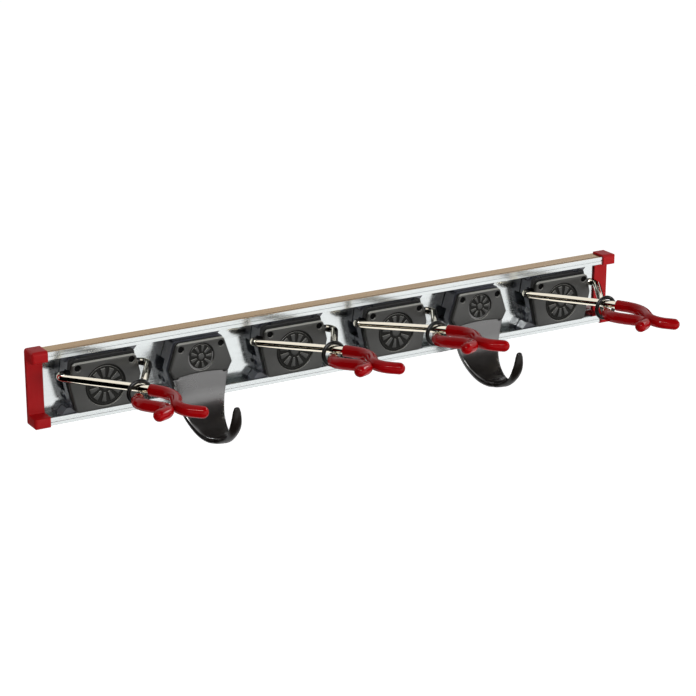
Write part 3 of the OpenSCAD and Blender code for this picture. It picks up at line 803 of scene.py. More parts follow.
def dome(start: float, radius: float, steps: int) -> Profile:
    """Rounds a body off with a half ball.

    Args:
        start: Distance along the path where the half ball starts.
        radius: Radius of the body.
        steps: Rings of the half ball.

    Returns:
        Profile from the full radius to the pole.
    """
    quarter = [math.pi / 2 * i / steps for i in range(steps)]
    curve = [(start + radius * math.sin(a), radius * math.cos(a)) for a in quarter]
    return curve + [(start + radius, 0.0)]


# ---------------------------------------------------------------- rail and caps


@dataclass
class Rail:
    """The aluminium rail, fixed to the wall."""

    node: str = "rail"
    edge: float = 0.25

    def build(self) -> None:
        """Finishes the rail's CAD solid."""
        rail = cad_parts[self.node]
        dress(rail, ExtrudedAluminium().make())
        ease_edges(rail, self.edge, segments=2)
        log.info("%s finished", self.node)


@dataclass
class EndCaps:
    """The two red caps that close the rail's ends."""

    nodes: tuple[str, ...] = ("left_end_cap", "right_end_cap")
    edge: float = 0.4

    def build(self) -> None:
        """Finishes both caps."""
        red = CAP_ABS.make()
        for name in self.nodes:
            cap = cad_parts[name]
            dress(cap, red)
            ease_edges(cap, self.edge, segments=4, angle=30)
            log.info("%s finished", name)


# ---------------------------------------------------------------- housings


@dataclass
class Palette:
    """Finishes that several pieces share, each made once."""

    cover: bpy.types.Material = field(default_factory=COVER_NYLON.make)
    base: bpy.types.Material = field(default_factory=BASE_NYLON.make)
    recess: bpy.types.Material = field(default_factory=RECESS_NYLON.make)
    nickel: bpy.types.Material = field(default_factory=ROD_NICKEL.make)
    vinyl: bpy.types.Material = field(default_factory=GRIP_VINYL.make)
    rubber: bpy.types.Material = field(default_factory=BAND_RUBBER.make)
    oxide: bpy.types.Material = field(default_factory=SCREW_OXIDE.make)
    gloss: bpy.types.Material = field(default_factory=HOOK_NYLON.make)
    finger: bpy.types.Material = field(default_factory=FINGER_NYLON.make)


@dataclass(frozen=True)
class Badge:
    """A round emblem moulded into a cover: a ring groove round a sunk disc with raised rays.

    Attributes:
        z: Height of its middle above the rail's middle.
        radius: Outer radius of the groove.
        groove: Width of the groove.
        groove_t: Depth of the groove.
        sink: How far the disc lies below the cover's face.
        rise: How far the rays stand out of the disc.
        rays: Number of rays.
        ray_ends: Inner and outer end of a ray, as shares of the radius.
        ray_halves: Half width of a ray at those ends, as shares of the radius.
        ray_corner: Corner radius of a ray, as a share of the radius.
        hub: Radius of the hub, as a share of the radius.
        root: How far the rays and the hub reach into the disc.
        soft: Radius of the edges of the groove's outer side and of the hub.
        fine: Radius of the edges of the disc and of the rays.
    """

    z: float
    radius: float
    groove: float = 1.5
    groove_t: float = 1.4
    sink: float = 0.9
    rise: float = 0.85
    rays: int = 11
    ray_ends: tuple[float, float] = (0.36, 0.8)
    ray_halves: tuple[float, float] = (0.05, 0.12)
    ray_corner: float = 0.02
    hub: float = 0.22
    root: float = 0.05
    soft: float = 0.25
    fine: float = 0.2

    def ray(self, turn: float) -> Profile:
        """Lays out one ray, wider towards the rim.

        Args:
            turn: Angle of the ray in radians.

        Returns:
            The outline of the ray.
        """
        (near, far), (narrow, wide) = self.ray_ends, self.ray_halves
        spin = Matrix.Rotation(turn, 2)
        placed = [spin @ Vector((self.radius * x, self.radius * y))
                  for x, y in ((far, -wide), (far, wide), (near, narrow), (near, -narrow))]
        return rounded([(p.x, p.y + self.z, self.ray_corner * self.radius) for p in placed], steps=3)

    def build(self, body: Moulding, front: float, steps: int = 72) -> Ring:
        """Draws the emblem.

        Args:
            body: Moulding that it goes into.
            front: Height of the cover's face.
            steps: Divisions of its circles.

        Returns:
            The vertices where the groove meets the cover's face.
        """
        floor, disc = front - self.groove_t, front - self.sink
        outer = circle(0, self.z, self.radius, steps)
        inner = circle(0, self.z, self.radius - self.groove, steps)
        low, rim = body.wall(eased(outer, floor, front, self.soft, sunk=True))
        foot, edge = body.wall(eased(inner, floor, disc, self.fine))
        # The groove's floor and the sunk disc get the second material: painted shade in the emblem's
        # hollows.
        body.face(low, foot, tone=SECOND)
        body.face(edge, tone=SECOND)
        for i in range(self.rays):
            ray = self.ray(2 * math.pi * i / self.rays)
            body.pad(ray, disc - self.root, disc + self.rise, self.fine)
        hub = circle(0, self.z, self.hub * self.radius, steps)
        body.pad(hub, disc - self.root, disc + self.rise, self.soft)
        return rim


@dataclass(frozen=True)
class Cover:
    """The screwed-on cover of a holder, with a rounded rim, two screw recesses and a round emblem.

    Attributes:
        outline: Outline of the cover.
        back: Depth of its back face.
        front: Depth of its front face.
        badge: Emblem on its face.
        screw_x: Distance of the screws from the middle.
        screw_z: Height of the screws.
        rim: Radius of its front edge.
        rim_wall: Depth of the light wall behind that edge.
        seam: Depth over which that wall goes over into the one behind it, which is painted dark as painted
            shade.
        back_edge: Radius of its back edge.
        recess_d: Diameter of a screw recess.
        recess_deep: Depth of a screw recess.
        recess_edge: Radius of the edge of a screw recess.
        recess_steps: Divisions of a screw recess.
    """

    outline: Profile
    back: float
    front: float
    badge: Badge
    screw_x: float
    screw_z: float
    rim: float = 1.4
    rim_wall: float = 0.3
    seam: float = 0.1
    back_edge: float = 0.8
    recess_d: float = 5.0
    recess_deep: float = 1.9
    recess_edge: float = 0.25
    recess_steps: int = 28

    def build(self, owner: str, centre_x: float, palette: Palette, hollows: Build | None) -> None:
        """Makes the cover of one holder.

        Args:
            owner: Start of the names of the holder's pieces.
            centre_x: Middle of the holder along the rail.
            palette: Shared finishes.
            hollows: Function that draws what is cut out of the cover, or None.
        """
        def draw(shape: bmesh.types.BMesh) -> None:
            """Draws the body, the recesses and the emblem.

            Args:
                shape: Mesh that they go into.
            """
            body = Moulding(shape, facing_front(centre_x))
            foot = self.front - self.rim - self.rim_wall
            # The wall behind the rim and the back face get the second material: painted shade.
            dark = eased(self.outline, foot - self.seam, self.back, self.back_edge)[::-1]
            low, edge = body.wall(dark, tone=SECOND)
            high = body.wall(eased(self.outline, foot, self.front, self.rim, steps=6), start=edge)[1]
            body.face(low, tone=SECOND)
            holes = [self.badge.build(body, self.front)]
            for side in (-1, 1):
                hole = circle(side * self.screw_x, self.screw_z, self.recess_d / 2, self.recess_steps)
                floor, edge = body.wall(eased(hole, self.front - self.recess_deep, self.front,
                                              self.recess_edge, sunk=True))
                body.face(floor)
                holes.append(edge)
            body.face(high, *holes)

        mesh = mesh_from(f"{owner}_cover", draw, palette.cover, palette.recess)
        if hollows:
            mesh = carved(mesh, hollows, palette.recess)
        add_piece(f"{owner}_cover", mesh, f"{owner}_carriage")


def build_housing(owner: str, centre_x: float, cover: Cover, palette: Palette,
                  hollows: Build | None = None) -> None:
    """Finishes the base and the screws of one holder and makes its cover.

    Args:
        owner: Start of the names of the holder's pieces.
        centre_x: Middle of the holder along the rail.
        cover: Cover of the holder.
        palette: Shared finishes.
        hollows: Function that draws what is cut out of the cover, if anything.
    """
    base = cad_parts[f"{owner}_base"]
    dress(base, palette.base)
    ease_edges(base, HOUSING_EDGE)
    cover.build(owner, centre_x, palette, hollows)
    dress(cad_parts[f"{owner}_screws"], palette.oxide)


def skirt(half: float, low: float, rise: float, end_r: float = 1.0, arch_r: float = 0.2,
          steps: int = 16) -> list[tuple[float, float, float]]:
    """Lays out the arched lower edge of a hook's cover, from left to right.

    Args:
        half: Half width of the edge.
        low: Height of its ends.
        rise: Rise of its middle.
        end_r: Corner radius at its ends.
        arch_r: Corner radius between its steps.
        steps: Steps along the arch.

    Returns:
        Place and radius of each corner of the edge.
    """
    radius = (half * half + rise * rise) / (2 * rise)
    places = [half * (2 * k / steps - 1) for k in range(steps + 1)]
    return [(x, low + rise - radius + math.sqrt(radius * radius - x * x),
             end_r if abs(x) == half else arch_r) for x in places]


CLAMP_COVER = Cover(
    outline=rounded([(-22.5, -19, 3), (22.5, -19, 3), (27.5, 3, 3), (24, 18, 3), (-24, 18, 3),
                     (-27.5, 3, 3)]),
    back=16.5, front=21.0, badge=Badge(z=-1.2, radius=15.4), screw_x=20.5, screw_z=14.2)
HOOK_COVER = Cover(
    outline=rounded(skirt(21.5, -7.5, 1.9) + [(25, -1, 1.5), (18.5, 18.7, 2.5), (-18.5, 18.7, 2.5),
                                              (-25, -1, 1.5)]),
    back=16.0, front=20.0, badge=Badge(z=6.5, radius=10.4, groove=1.2, rays=9), screw_x=16.0,
    screw_z=14.2)


# ---------------------------------------------------------------- clamps


# Numbers of the bends after which an arm's thick rod and its grip start.
SHOULDER, GRIP = 0, 3


class Side(Enum):
    """Side of the housing that an arm hangs on."""

    LEFT = "left"
    RIGHT = "right"


@dataclass
class Clamp:
    """One sliding clamp: its housing, two crossing arms with dipped grips, and the rubber ring."""

    number: int
    centre_x: float
    # Angle by which both arms hang down, in degrees.
    sag: float
    palette: Palette
    cover: Cover = CLAMP_COVER
    # Hinges: place and lean of the pins, size of the eyes.
    pin_x: float = 15.0
    pin_lean: float = 15.0
    arm_depth: float = 13.3
    arm_z: float = 9.3
    eye_d: float = 7.6
    eye_h: float = 5.0
    eye_bore_d: float = 4.1
    # Room for the arms in the cover: where it widens, the cover's half width, how far it runs past that,
    # its clearance, and the angle by which the arms open, in degrees.
    mouth_x: float = 23.5
    half_w: float = 27.5
    room_past: float = 1.0
    room_gap: float = 0.3
    open_angle: float = 8.0
    # Thicknesses of the rod, the sleeve and the grip.
    rod_d: float = 5.6
    core_d: float = 4.2
    sleeve_d: float = 5.2
    grip_d: float = 8.4
    grip_bore_d: float = 5.64
    grip_lip: float = 0.7
    # Course of an arm from the pin to the crossing.
    corner_x: float = 37.8
    cross_depth: float = 77.2
    corner_r: float = 6.5
    sleeve_turn: float = 35.0
    sleeve_x: float = 23.8
    upper_rise: float = 5.4
    lower_fall: float = 1.7
    upper_bend: float = 3.0
    lower_bend: float = 13.0
    lower_run: float = 53.0
    lift_r: float = 30.0
    # Course of a grip from the crossing to the end of the finger.
    grip_start: float = 9.0
    grip_run: float = 8.0
    belly_r: float = 24.0
    close_in: float = 25.0
    waist_gap: float = 1.07
    mouth_r: float = 12.0
    mouth_out: float = 60.0
    mouth_dip: float = 5.0
    finger_run: float = 6.0
    # Fineness of the meshes: sides and spacing of the rings, and steps round the ends of a grip.
    rod_sides: int = 28
    step: float = 1.5
    lip_steps: int = 4
    bore_steps: int = 5
    tip_steps: int = 9

    @property
    def name(self) -> str:
        """Start of the names of the clamp's pieces."""
        return f"clamp_{self.number}"

    def pair_frame(self) -> Matrix:
        """Frame at the middle of the two stubs, hanging down by the clamp's sag."""
        return (Matrix.Translation((self.centre_x, -self.arm_depth, self.arm_z))
                @ Matrix.Rotation(math.radians(self.sag), 4, "X"))

    def path(self, side: Side) -> BentPath:
        """Lays out an arm's centre line.

        Args:
            side: Which arm.

        Returns:
            The path from the hinge pin to the end of the finger.
        """
        forward = self.cross_depth - self.arm_depth
        splay = math.degrees(math.atan(self.corner_x / forward))
        corner_turn = 90 + splay
        corner_cut = self.corner_r * math.tan(math.radians(corner_turn / 2))
        stub = self.corner_x - corner_cut - self.pin_x
        run = forward / math.cos(math.radians(splay)) - corner_cut
        start = [Bend(stub, 0, self.corner_r, self.sleeve_turn),
                 Bend(0, 0, self.corner_r, corner_turn - self.sleeve_turn)]
        if side is Side.LEFT:
            pitch = self.upper_rise
            arc = self.lift_r * math.radians(self.upper_bend)
            middle = [Bend(run, -90, self.lift_r, self.upper_bend), Bend(self.grip_start - arc)]
        else:
            pitch = -self.lower_fall
            arc = self.lift_r * math.radians(self.lower_bend)
            middle = [Bend(self.lower_run, 90, self.lift_r, self.lower_bend),
                      Bend(run - self.lower_run - arc + self.grip_start)]
        lean, closing = math.radians(splay), math.radians(self.close_in)
        belly_out = ((self.grip_start + self.grip_run) * math.sin(lean)
                     + self.belly_r * (math.cos(closing) - math.cos(lean)))
        waist_out = (self.grip_d + self.waist_gap) / 2 + self.mouth_r * (1 - math.cos(closing))
        waist_run = (belly_out - waist_out) / math.sin(closing)
        grip = [Bend(self.grip_run, 180, self.belly_r, splay + self.close_in),
                Bend(waist_run, -self.mouth_dip, self.mouth_r, self.close_in + self.mouth_out),
                Bend(self.finger_run)]
        at_pin = (self.pair_frame() @ Matrix.Translation((-self.pin_x, 0, 0))
                  @ Matrix.Rotation(math.radians(90 - pitch), 4, "X")
                  @ Matrix.Rotation(math.radians(-90), 4, "Y"))
        return BentPath(at_pin, start + middle + grip, self.centre_x if side is Side.RIGHT else None)

    def pin_frame(self, side: Side) -> Matrix:
        """Lays out a hinge pin.

        Args:
            side: Which arm it holds.

        Returns:
            Its frame, with the local Z along the leaning pin.
        """
        hand = -1 if side is Side.LEFT else 1
        return (self.pair_frame() @ Matrix.Translation((hand * self.pin_x, 0, 0))
                @ Matrix.Rotation(math.radians(hand * self.pin_lean), 4, "Y"))

    def arm_room(self, shape: bmesh.types.BMesh) -> None:
        """Draws the room that the eyes and the stubs of both arms turn in.

        Args:
            shape: Mesh that the shapes go into.
        """
        swing = (self.half_w - self.pin_x) * math.sin(math.radians(self.open_angle))
        level = facing_front(self.centre_x)
        for side, hand in ((Side.LEFT, -1), (Side.RIGHT, 1)):
            loop = circle(0, 0, self.eye_d / 2 + self.room_gap, self.rod_sides)
            half = self.eye_h / 2 + self.room_gap
            blocks = [(self.pin_frame(side), loop, -half, half)]
            for d, from_x in ((self.core_d, self.pin_x), (self.sleeve_d, self.mouth_x)):
                half = d / 2 + self.room_gap
                near, far = sorted((hand * from_x, hand * (self.half_w + self.room_past)))
                loop = [(near, self.arm_z - half), (far, self.arm_z - half),
                        (far, self.arm_z + half), (near, self.arm_z + half)]
                blocks.append((level, loop, self.arm_depth - half, self.arm_depth + half + swing))
            for place, loop, low, high in blocks:
                block = Moulding(shape, place)
                for ring in block.wall([(loop, low), (loop, high)]):
                    block.face(ring)

    def rod_mesh(self, side: Side, path: BentPath) -> bpy.types.Mesh:
        """Makes the plated rod with the eye at its hinge end.

        Args:
            side: Which arm.
            path: Centre line of the arm.

        Returns:
            The mesh.
        """
        thin, thick = self.core_d / 2, self.rod_d / 2
        inside_eye, shoulder = self.eye_d / 4, path.marks[SHOULDER]
        inside_grip = path.marks[GRIP] + 2 * self.grip_lip
        profile = [(inside_eye, 0.0)]
        profile += [(s, thin) for s in stations(inside_eye, shoulder, self.step)]
        profile += [(s, thick) for s in stations(shoulder + SHOULDER_RUN, inside_grip, self.step)]
        profile.append((inside_grip + SHOULDER_RUN, 0.0))
        eye_r, hole_r, half = self.eye_d / 2, self.eye_bore_d / 2, self.eye_h / 2

        def build(shape: bmesh.types.BMesh) -> None:
            """Draws the rod and the eye.

            Args:
                shape: Mesh that they go into.
            """
            path.sweep(shape, profile, self.rod_sides)
            revolve(shape, self.pin_frame(side),
                    [(hole_r, -half), (eye_r, -half), (eye_r, half), (hole_r, half)], self.rod_sides)

        return mesh_from(f"{self.name}_{side.value}_rod", build, self.palette.nickel)

    def sleeve_mesh(self, side: Side, path: BentPath) -> bpy.types.Mesh:
        """Makes the black sleeve that keeps the stub from rattling in the housing.

        Args:
            side: Which arm.
            path: Centre line of the arm.

        Returns:
            The mesh.
        """
        inner, outer = self.core_d / 2, self.sleeve_d / 2
        along = stations(self.sleeve_x - self.pin_x, path.marks[SHOULDER], self.step / 2)
        profile = [(s, outer) for s in along] + [(s, inner) for s in reversed(along)]

        def build(shape: bmesh.types.BMesh) -> None:
            """Draws the tube."""
            path.sweep(shape, profile, self.rod_sides, closed=True)

        return mesh_from(f"{self.name}_{side.value}_sleeve", build, self.palette.rubber)

    def grip_mesh(self, side: Side, path: BentPath) -> bpy.types.Mesh:
        """Makes the dipped grip: a skin round the rod, with a soft lip and a round tip.

        Args:
            side: Which arm.
            path: Centre line of the arm.

        Returns:
            The mesh.
        """
        begin, end = path.marks[GRIP], path.length
        bore, outer, lip = self.grip_bore_d / 2, self.grip_d / 2, self.grip_lip
        inside = [(s, bore) for s in stations(end, begin, self.step)[1:]]
        rim = [(begin + lip - lip * math.cos(a), outer - lip + lip * math.sin(a))
               for a in (math.pi / 2 * i / self.lip_steps for i in range(self.lip_steps + 1))]
        outside = [(s, outer) for s in stations(begin + lip, end, self.step)[1:-1]]
        profile = (dome(end, bore, self.bore_steps)[::-1] + inside + rim + outside
                   + dome(end, outer, self.tip_steps))

        def build(shape: bmesh.types.BMesh) -> None:
            """Draws the skin."""
            path.sweep(shape, profile, self.rod_sides)

        return mesh_from(f"{self.name}_{side.value}_grip", build, self.palette.vinyl)

    def build_arm(self, side: Side) -> None:
        """Makes one arm with its sleeve and grip.

        Args:
            side: Which arm.
        """
        path = self.path(side)
        arm = f"{self.name}_{side.value}"
        for part, mesh, slot in (("arm", self.rod_mesh(side, path), Slot.ROD),
                                 ("sleeve", self.sleeve_mesh(side, path), Slot.RUBBER),
                                 ("grip", self.grip_mesh(side, path), Slot.GRIP)):
            add_piece(f"{arm}_{part}", mesh, f"{arm}_swing")

    def build(self) -> None:
        """Makes the whole clamp."""
        build_housing(self.name, self.centre_x, self.cover, self.palette, self.arm_room)
        dress(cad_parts[f"{self.name}_pins"], self.palette.nickel)
        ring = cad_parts[f"{self.name}_ring"]
        dress(ring, self.palette.rubber)
        ring.data.shade_smooth()
        for side in Side:
            self.build_arm(side)
        log.info("%s finished", self.name)


# ---------------------------------------------------------------- hooks


@dataclass(frozen=True)
class Cut:
    """One cross-section of the hook.

    Attributes:
        outer: Depth and height of its outer face.
        inner: Depth and height of its inner face.
        half: Half of its width.
        power: Fullness of the section: 2 is an ellipse, and more comes nearer to a flat bar.
    """

    outer: tuple[float, float]
    inner: tuple[float, float]
    half: float
    power: float

    def ring(self, centre_x: float, steps: int = 44) -> list[Vector]:
        """Lays the section out in the rack's frame.

        Args:
            centre_x: Middle of the hook along the rail.
            steps: Number of corners.

        Returns:
            Corners of the section.
        """
        outer, inner = Vector(self.outer), Vector(self.inner)
        middle, across = (outer + inner) / 2, outer - inner
        high = across.length / 2
        across.normalize()
        ring = []
        for i in range(steps):
            a = 2 * math.pi * (i + 0.5) / steps
            wide, thick = (math.copysign(abs(t) ** (2 / self.power), t)
                           for t in (math.cos(a), math.sin(a)))
            point = middle + across * high * thick
            ring.append(Vector((centre_x + self.half * wide, -point.x, point.y)))
        return ring


@dataclass
class Hook:
    """One sliding hook: a housing and a broad J-shaped hook that narrows to a leaf-shaped finger."""

    number: int
    centre_x: float
    palette: Palette
    cover: Cover = HOOK_COVER
    # Plate, bowl and finger: thicknesses, the bowl's outer radius, the heights of bowl and tip.
    back: float = 16.0
    plate_t: float = 2.7
    bowl_t: float = 5.0
    finger_t: float = 3.5
    bowl_r: float = 29.8
    bowl_z: float = -20.0
    tip_z: float = -17.0
    # Half widths: of the tang in the housing, of the plate's shoulder, and round the bowl by its angle.
    tang_half: float = 18.0
    tang_z: float = 8.5
    shoulder_half: float = 22.0
    shoulder_z: float = -8.0
    halves: tuple[tuple[float, float], ...] = (
        (0, 20.2), (24, 17.5), (37, 15.8), (54, 13.6), (72, 11.6), (84, 10.2), (92, 9.4), (98, 8.2),
        (105, 6.6), (112, 5.2), (120, 4.2), (128, 3.7), (136, 3.9), (144, 4.4), (152, 4.7), (160, 4.6),
        (170, 4.0), (180, 3.2))
    # Fullness of the sections: the tang's, and the plate's, which fades to the finger's at an angle.
    tang_power: float = 16.0
    plate_power: float = 12.0
    finger_power: float = 1.8
    power_fade: float = 0.7
    power_end: float = 110.0
    # Depth where the worn finger starts, in bowl radii, and the rounding of its tip.
    finger_from: float = 1.2
    tip_turns: tuple[float, ...] = (0, 22, 42, 60, 75, 86)
    tip_less: float = 1.0
    tip_least: float = 0.2
    # Spacing of the sections: on the tang, on the plate and before the bowl, and round it in degrees.
    tang_step: float = 3.0
    plate_step: float = 1.5
    plate_rest: float = 0.5
    bowl_step: float = 3.0

    @property
    def name(self) -> str:
        """Start of the names of the hook's pieces."""
        return f"hook_{self.number}"

    def half_at(self, turn: float) -> float:
        """Finds the half width at an angle round the bowl.

        Args:
            turn: Angle from the plate, in degrees.

        Returns:
            Half of the width.
        """
        for (before, wide), (after, narrow) in zip(self.halves, self.halves[1:]):
            if turn <= after:
                return wide + (narrow - wide) * (turn - before) / (after - before)
        return self.halves[-1][1]

    def plate_cuts(self, foot: float) -> list[Cut]:
        """Lays out the sections from the tang down the plate.

        Args:
            foot: Height where the plate ends.

        Returns:
            The sections.
        """
        front = self.back + self.plate_t
        made = [Cut((self.back, z), (front, z), self.tang_half, self.tang_power)
                for z in stations(self.tang_z, self.shoulder_z, self.tang_step)]
        top = self.shoulder_z - SHOULDER_RUN
        narrowing = self.halves[0][1] - self.shoulder_half
        for z in stations(top, foot, self.plate_step):
            half = self.shoulder_half + narrowing * (top - z) / (top - foot)
            made.append(Cut((self.back, z), (front, z), half, self.plate_power))
        return made

    def bowl_cuts(self, inner_r: float, inner_z: float) -> list[Cut]:
        """Lays out the sections round the bowl, up to the finger's tip.

        Args:
            inner_r: Radius of the bowl's inner face.
            inner_z: Height of that radius's centre.

        Returns:
            The sections.
        """
        front = self.back + self.plate_t
        made = []
        for turn in stations(0, 180, self.bowl_step):
            a = math.radians(turn)
            outer = (self.back + self.bowl_r * (1 - math.cos(a)),
                     self.bowl_z - self.bowl_r * math.sin(a))
            inner = (front + inner_r * (1 - math.cos(a)), inner_z - inner_r * math.sin(a))
            fullness = max(0.0, 1 - turn / self.power_end) ** self.power_fade
            power = self.finger_power + (self.plate_power - self.finger_power) * fullness
            made.append(Cut(outer, inner, self.half_at(turn), power))
        return made

    def tip_cuts(self) -> list[Cut]:
        """Lays out the sections that round off the finger's tip.

        Returns:
            The sections.
        """
        half, thick = self.halves[-1][1] - self.tip_less, self.finger_t / 2
        mid = self.back + 2 * self.bowl_r - thick
        made = []
        for turn in self.tip_turns:
            rise, shrink = math.sin(math.radians(turn)), math.cos(math.radians(turn))
            z = self.tip_z + thick * rise
            made.append(Cut((mid + thick * shrink, z), (mid - thick * shrink, z),
                            half * shrink + self.tip_least, self.finger_power))
        return made

    def cuts(self) -> list[Cut]:
        """Lays out all sections, from the tang to the finger's tip.

        Returns:
            The sections.
        """
        inner_r = self.bowl_r - (self.plate_t + self.finger_t) / 2
        inner_z = self.bowl_z - self.bowl_r + self.bowl_t + inner_r
        return (self.plate_cuts(inner_z + self.plate_rest) + self.bowl_cuts(inner_r, inner_z)
                + self.tip_cuts())

    def body_mesh(self) -> bpy.types.Mesh:
        """Makes the hook as one skin through its sections.

        Returns:
            The mesh, with the finger in a material of its own.
        """
        def draw(shape: bmesh.types.BMesh) -> None:
            """Draws the skin and closes its two ends.

            Args:
                shape: Mesh that it goes into.
            """
            cuts = self.cuts()
            rings = [[shape.verts.new(p) for p in cut.ring(self.centre_x)] for cut in cuts]
            worn = self.back + self.finger_from * self.bowl_r
            split = next(i for i, cut in enumerate(cuts) if cut.outer[0] > worn)
            skin(shape, rings[:split + 1], closed=False)
            skin(shape, rings[split:], closed=False, tone=SECOND)
            shape.faces.new(rings[0])
            shape.faces.new(rings[-1]).material_index = SECOND

        return mesh_from(f"{self.name}_body", draw, self.palette.gloss, self.palette.finger)

    def build(self) -> None:
        """Makes the whole hook."""
        build_housing(self.name, self.centre_x, self.cover, self.palette)
        add_piece(f"{self.name}_body", self.body_mesh(), f"{self.name}_carriage")
        log.info("%s finished", self.name)


# ---------------------------------------------------------------- studio


BLACK, WHITE = "000000", "ffffff"


def add_sheet(name: str, wide: float, high: float, z: float = 0.0) -> bpy.types.Object:
    """Adds a flat sheet to the scene.

    Args:
        name: Name of the sheet.
        wide: Its size along X, in metres.
        high: Its size along Y, in metres.
        z: Its height.

    Returns:
        The sheet.
    """
    x, y = wide / 2, high / 2
    mesh = bpy.data.meshes.new(name)
    mesh.from_pydata([(-x, -y, z), (x, -y, z), (x, y, z), (-x, y, z)], [], [(0, 1, 2, 3)])
    return add_object(name, mesh)


@dataclass(frozen=True)
class Card:
    """A flat card that only shows in reflections.

    Attributes:
        name: Name of the card.
        centre: Its middle, in metres.
        size: Its width and height, in metres.
        colour: Its colour.
        strength: How strongly it glows.
        aim: Point that it faces, in metres.
    """

    name: str
    centre: tuple[float, float, float]
    size: tuple[float, float]
    colour: str = BLACK
    strength: float = 0.0
    aim: tuple[float, float, float] = (0.0, 0.0, 0.0)

    def build(self) -> None:
        """Hangs the card."""
        card = add_sheet(self.name, *self.size)
        card.location = self.centre
        away = Vector(self.centre) - Vector(self.aim)
        card.rotation_euler = away.to_track_quat("-Z", "Y").to_euler()
        material = bpy.data.materials.new(self.name)
        material.use_nodes = True
        tree = material.node_tree
        tree.nodes.clear()
        glow = add_node(tree, "ShaderNodeEmission",
                        {"Color": linear(self.colour), "Strength": self.strength})
        add_node(tree, "ShaderNodeOutputMaterial", links={"Surface": glow.outputs[0]})
        dress(card, material)
        card.visible_camera = False
        card.visible_diffuse = False
        card.visible_transmission = False
        card.visible_shadow = False
        card.visible_volume_scatter = False


@dataclass(frozen=True)
class Lamp:
    """A soft square lamp that faces the rack and does not show in reflections.

    Attributes:
        name: Name of the lamp.
        place: Its middle, in metres.
        size: Length of its sides, in metres.
        power: Its power in watts.
    """

    name: str
    place: tuple[float, float, float]
    size: float
    power: float

    def build(self) -> None:
        """Hangs the lamp."""
        data = bpy.data.lights.new(self.name, "AREA")
        data.size = self.size
        data.energy = self.power
        lamp = add_object(self.name, data)
        lamp.location = self.place
        lamp.rotation_euler = Vector(self.place).to_track_quat("Z", "Y").to_euler()
        lamp.visible_glossy = False


LAMPS = (
    Lamp("key_lamp", (1.2, -2.2, 0.35), 1.2, 28.0),
    Lamp("fill_lamp", (-2.2, -1.6, 0.5), 1.5, 5.0),
    Lamp("top_lamp", (-0.5, -0.6, 2.0), 1.2, 6.0),
)
# The black flags give the metal its dark reflections, the white cards and strips its bright ones.
CARDS = (
    Card("dark_flag", (0.5, -2.6, 2.6), (8.0, 3.9)),
    Card("left_flag", (-1.8, 0.05, 0.4), (2.6, 1.7)),
    Card("left_ground_flag", (-1.28, -0.1, -0.44), (1.55, 2.6), aim=(-1.28, -0.1, 0.0)),
    Card("back_flag", (0.7, 0.9, -0.1), (3.4, 0.7), aim=(0.7, 0.0, -0.1)),
    Card("back_ground_flag", (0.9, 0.63, -0.44), (2.3, 0.54), aim=(0.9, 0.63, 0.0)),
    Card("roof_flag", (1.85, -0.9, 2.6), (3.6, 3.6)),
    Card("front_ground_flag", (0.4, -0.4, -0.44), (1.8, 0.7), aim=(0.4, -0.4, 0.0)),
    Card("low_white_card", (0.55, -1.0, -0.08), (1.7, 1.0), WHITE, 1.55),
    Card("bright_strip", (1.08, -1.98, 0.38), (1.2, 0.08), WHITE, 18.0),
    Card("front_strip", (-0.65, -1.15, 1.05), (1.1, 0.16), WHITE, 50.0),
    Card("right_strip", (1.7, 0.0, 0.75), (0.8, 0.12), WHITE, 40.0),
)


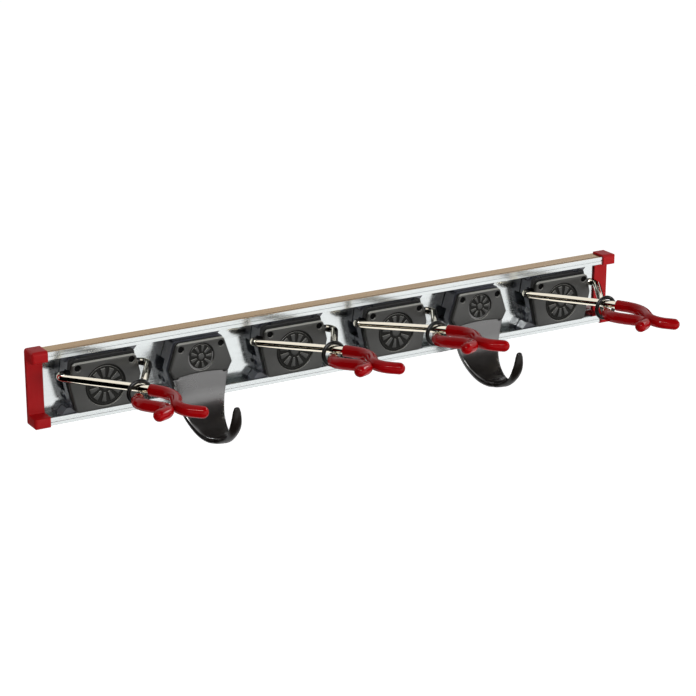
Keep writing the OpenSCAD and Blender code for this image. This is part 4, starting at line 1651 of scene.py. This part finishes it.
@dataclass(frozen=True)
class Studio:
    """Plain pale floor, soft light and the camera.

    Attributes:
        floor_z: Height of the floor, in metres.
        floor_size: Length of its sides, in metres.
        floor_grey: Share of the light that it gives back.
        floor_roughness: Its roughness.
        floor_glow: Light that is added where it is seen.
        ambient: Strength of the even light from all round.
        camera_at: Place of the camera, in metres.
        camera_aim: Point that it looks at, in metres.
        lens_mm: Focal length of its lens.
        sensor_mm: Width of its sensor.
    """

    floor_z: float = -0.45
    floor_size: float = 30.0
    floor_grey: float = 0.9
    floor_roughness: float = 0.9
    floor_glow: float = 0.72
    ambient: float = 0.3
    camera_at: tuple[float, float, float] = (-0.7747, -1.3408, 0.4999)
    camera_aim: tuple[float, float, float] = (0.0106, 0.0, -0.0150)
    lens_mm: float = 111.8
    sensor_mm: float = 36.0

    def seen(self, tree: bpy.types.NodeTree) -> bpy.types.NodeSocket:
        """Adds nodes that tell the camera's rays, reflections and see-through rays from the rest.

        Args:
            tree: Node tree of the floor or the world.

        Returns:
            Output that is 1 for those rays and 0 for the others.
        """
        rays = add_node(tree, "ShaderNodeLightPath")
        seen = add_node(tree, "ShaderNodeMath", {"operation": "MAXIMUM"},
                        {0: rays.outputs["Is Camera Ray"], 1: rays.outputs["Is Glossy Ray"]})
        either = add_node(tree, "ShaderNodeMath", {"operation": "MAXIMUM"},
                          {0: seen.outputs[0], 1: rays.outputs["Is Transmission Ray"]})
        return either.outputs[0]

    def build_world(self) -> None:
        """Sets the even light that comes from all round."""
        world = bpy.data.worlds.new("studio_light")
        bpy.context.scene.world = world
        world.use_nodes = True
        tree = world.node_tree
        tree.nodes.clear()
        dim, white = (add_node(tree, "ShaderNodeBackground",
                               {"Color": linear(WHITE), "Strength": strength})
                      for strength in (self.ambient, 1.0))
        mix = add_node(tree, "ShaderNodeMixShader",
                       links={0: self.seen(tree), 1: dim.outputs[0], 2: white.outputs[0]})
        add_node(tree, "ShaderNodeOutputWorld", links={"Surface": mix.outputs[0]})

    def build_floor(self) -> None:
        """Lays the pale floor, which takes the rack's shadow."""
        floor = add_sheet("floor", self.floor_size, self.floor_size, self.floor_z)
        # Matt paper, lifted to white where it is seen: the shadow that falls on it stays.
        material, tree, shader = new_material(
            "matt_white_paper", {"Base Color": (self.floor_grey,) * 3 + (1,),
                                 "Roughness": self.floor_roughness,
                                 "Emission Color": (self.floor_glow,) * 3 + (1,)})
        tree.links.new(self.seen(tree), shader.inputs["Emission Strength"])
        dress(floor, material)

    def build_camera(self) -> None:
        """Places the camera."""
        lens = bpy.data.cameras.new("camera")
        lens.lens = self.lens_mm
        lens.sensor_width = self.sensor_mm
        camera = add_object("camera", lens)
        camera.location = self.camera_at
        away = Vector(self.camera_at) - Vector(self.camera_aim)
        camera.rotation_euler = away.to_track_quat("Z", "Y").to_euler()
        bpy.context.scene.camera = camera

    def build(self) -> None:
        """Sets up the whole studio."""
        self.build_camera()
        self.build_world()
        self.build_floor()
        for light in LAMPS + CARDS:
            light.build()
            log.info("%s hung", light.name)
        bpy.context.scene.view_settings.view_transform = "Standard"
        log.info("studio finished")


# Middle of every clamp along the rail and angle by which its arms hang down, from left to right.
CLAMPS = ((-198.4, 1.5), (-46.6, -0.3), (40.6, -1.1), (193.6, 2.7))
# Middle of every hook along the rail, from left to right.
HOOKS = (-122.9, 116.8)


def main() -> None:
    """Builds the rack and the studio in order."""
    logging.basicConfig(level=logging.INFO, format="%(message)s")
    palette = Palette()
    Rail().build()
    EndCaps().build()
    for number, (place, sag) in enumerate(CLAMPS, 1):
        Clamp(number, place, sag, palette).build()
    for number, place in enumerate(HOOKS, 1):
        Hook(number, place, palette).build()
    Studio().build()


if __name__ == "__main__":
    main()
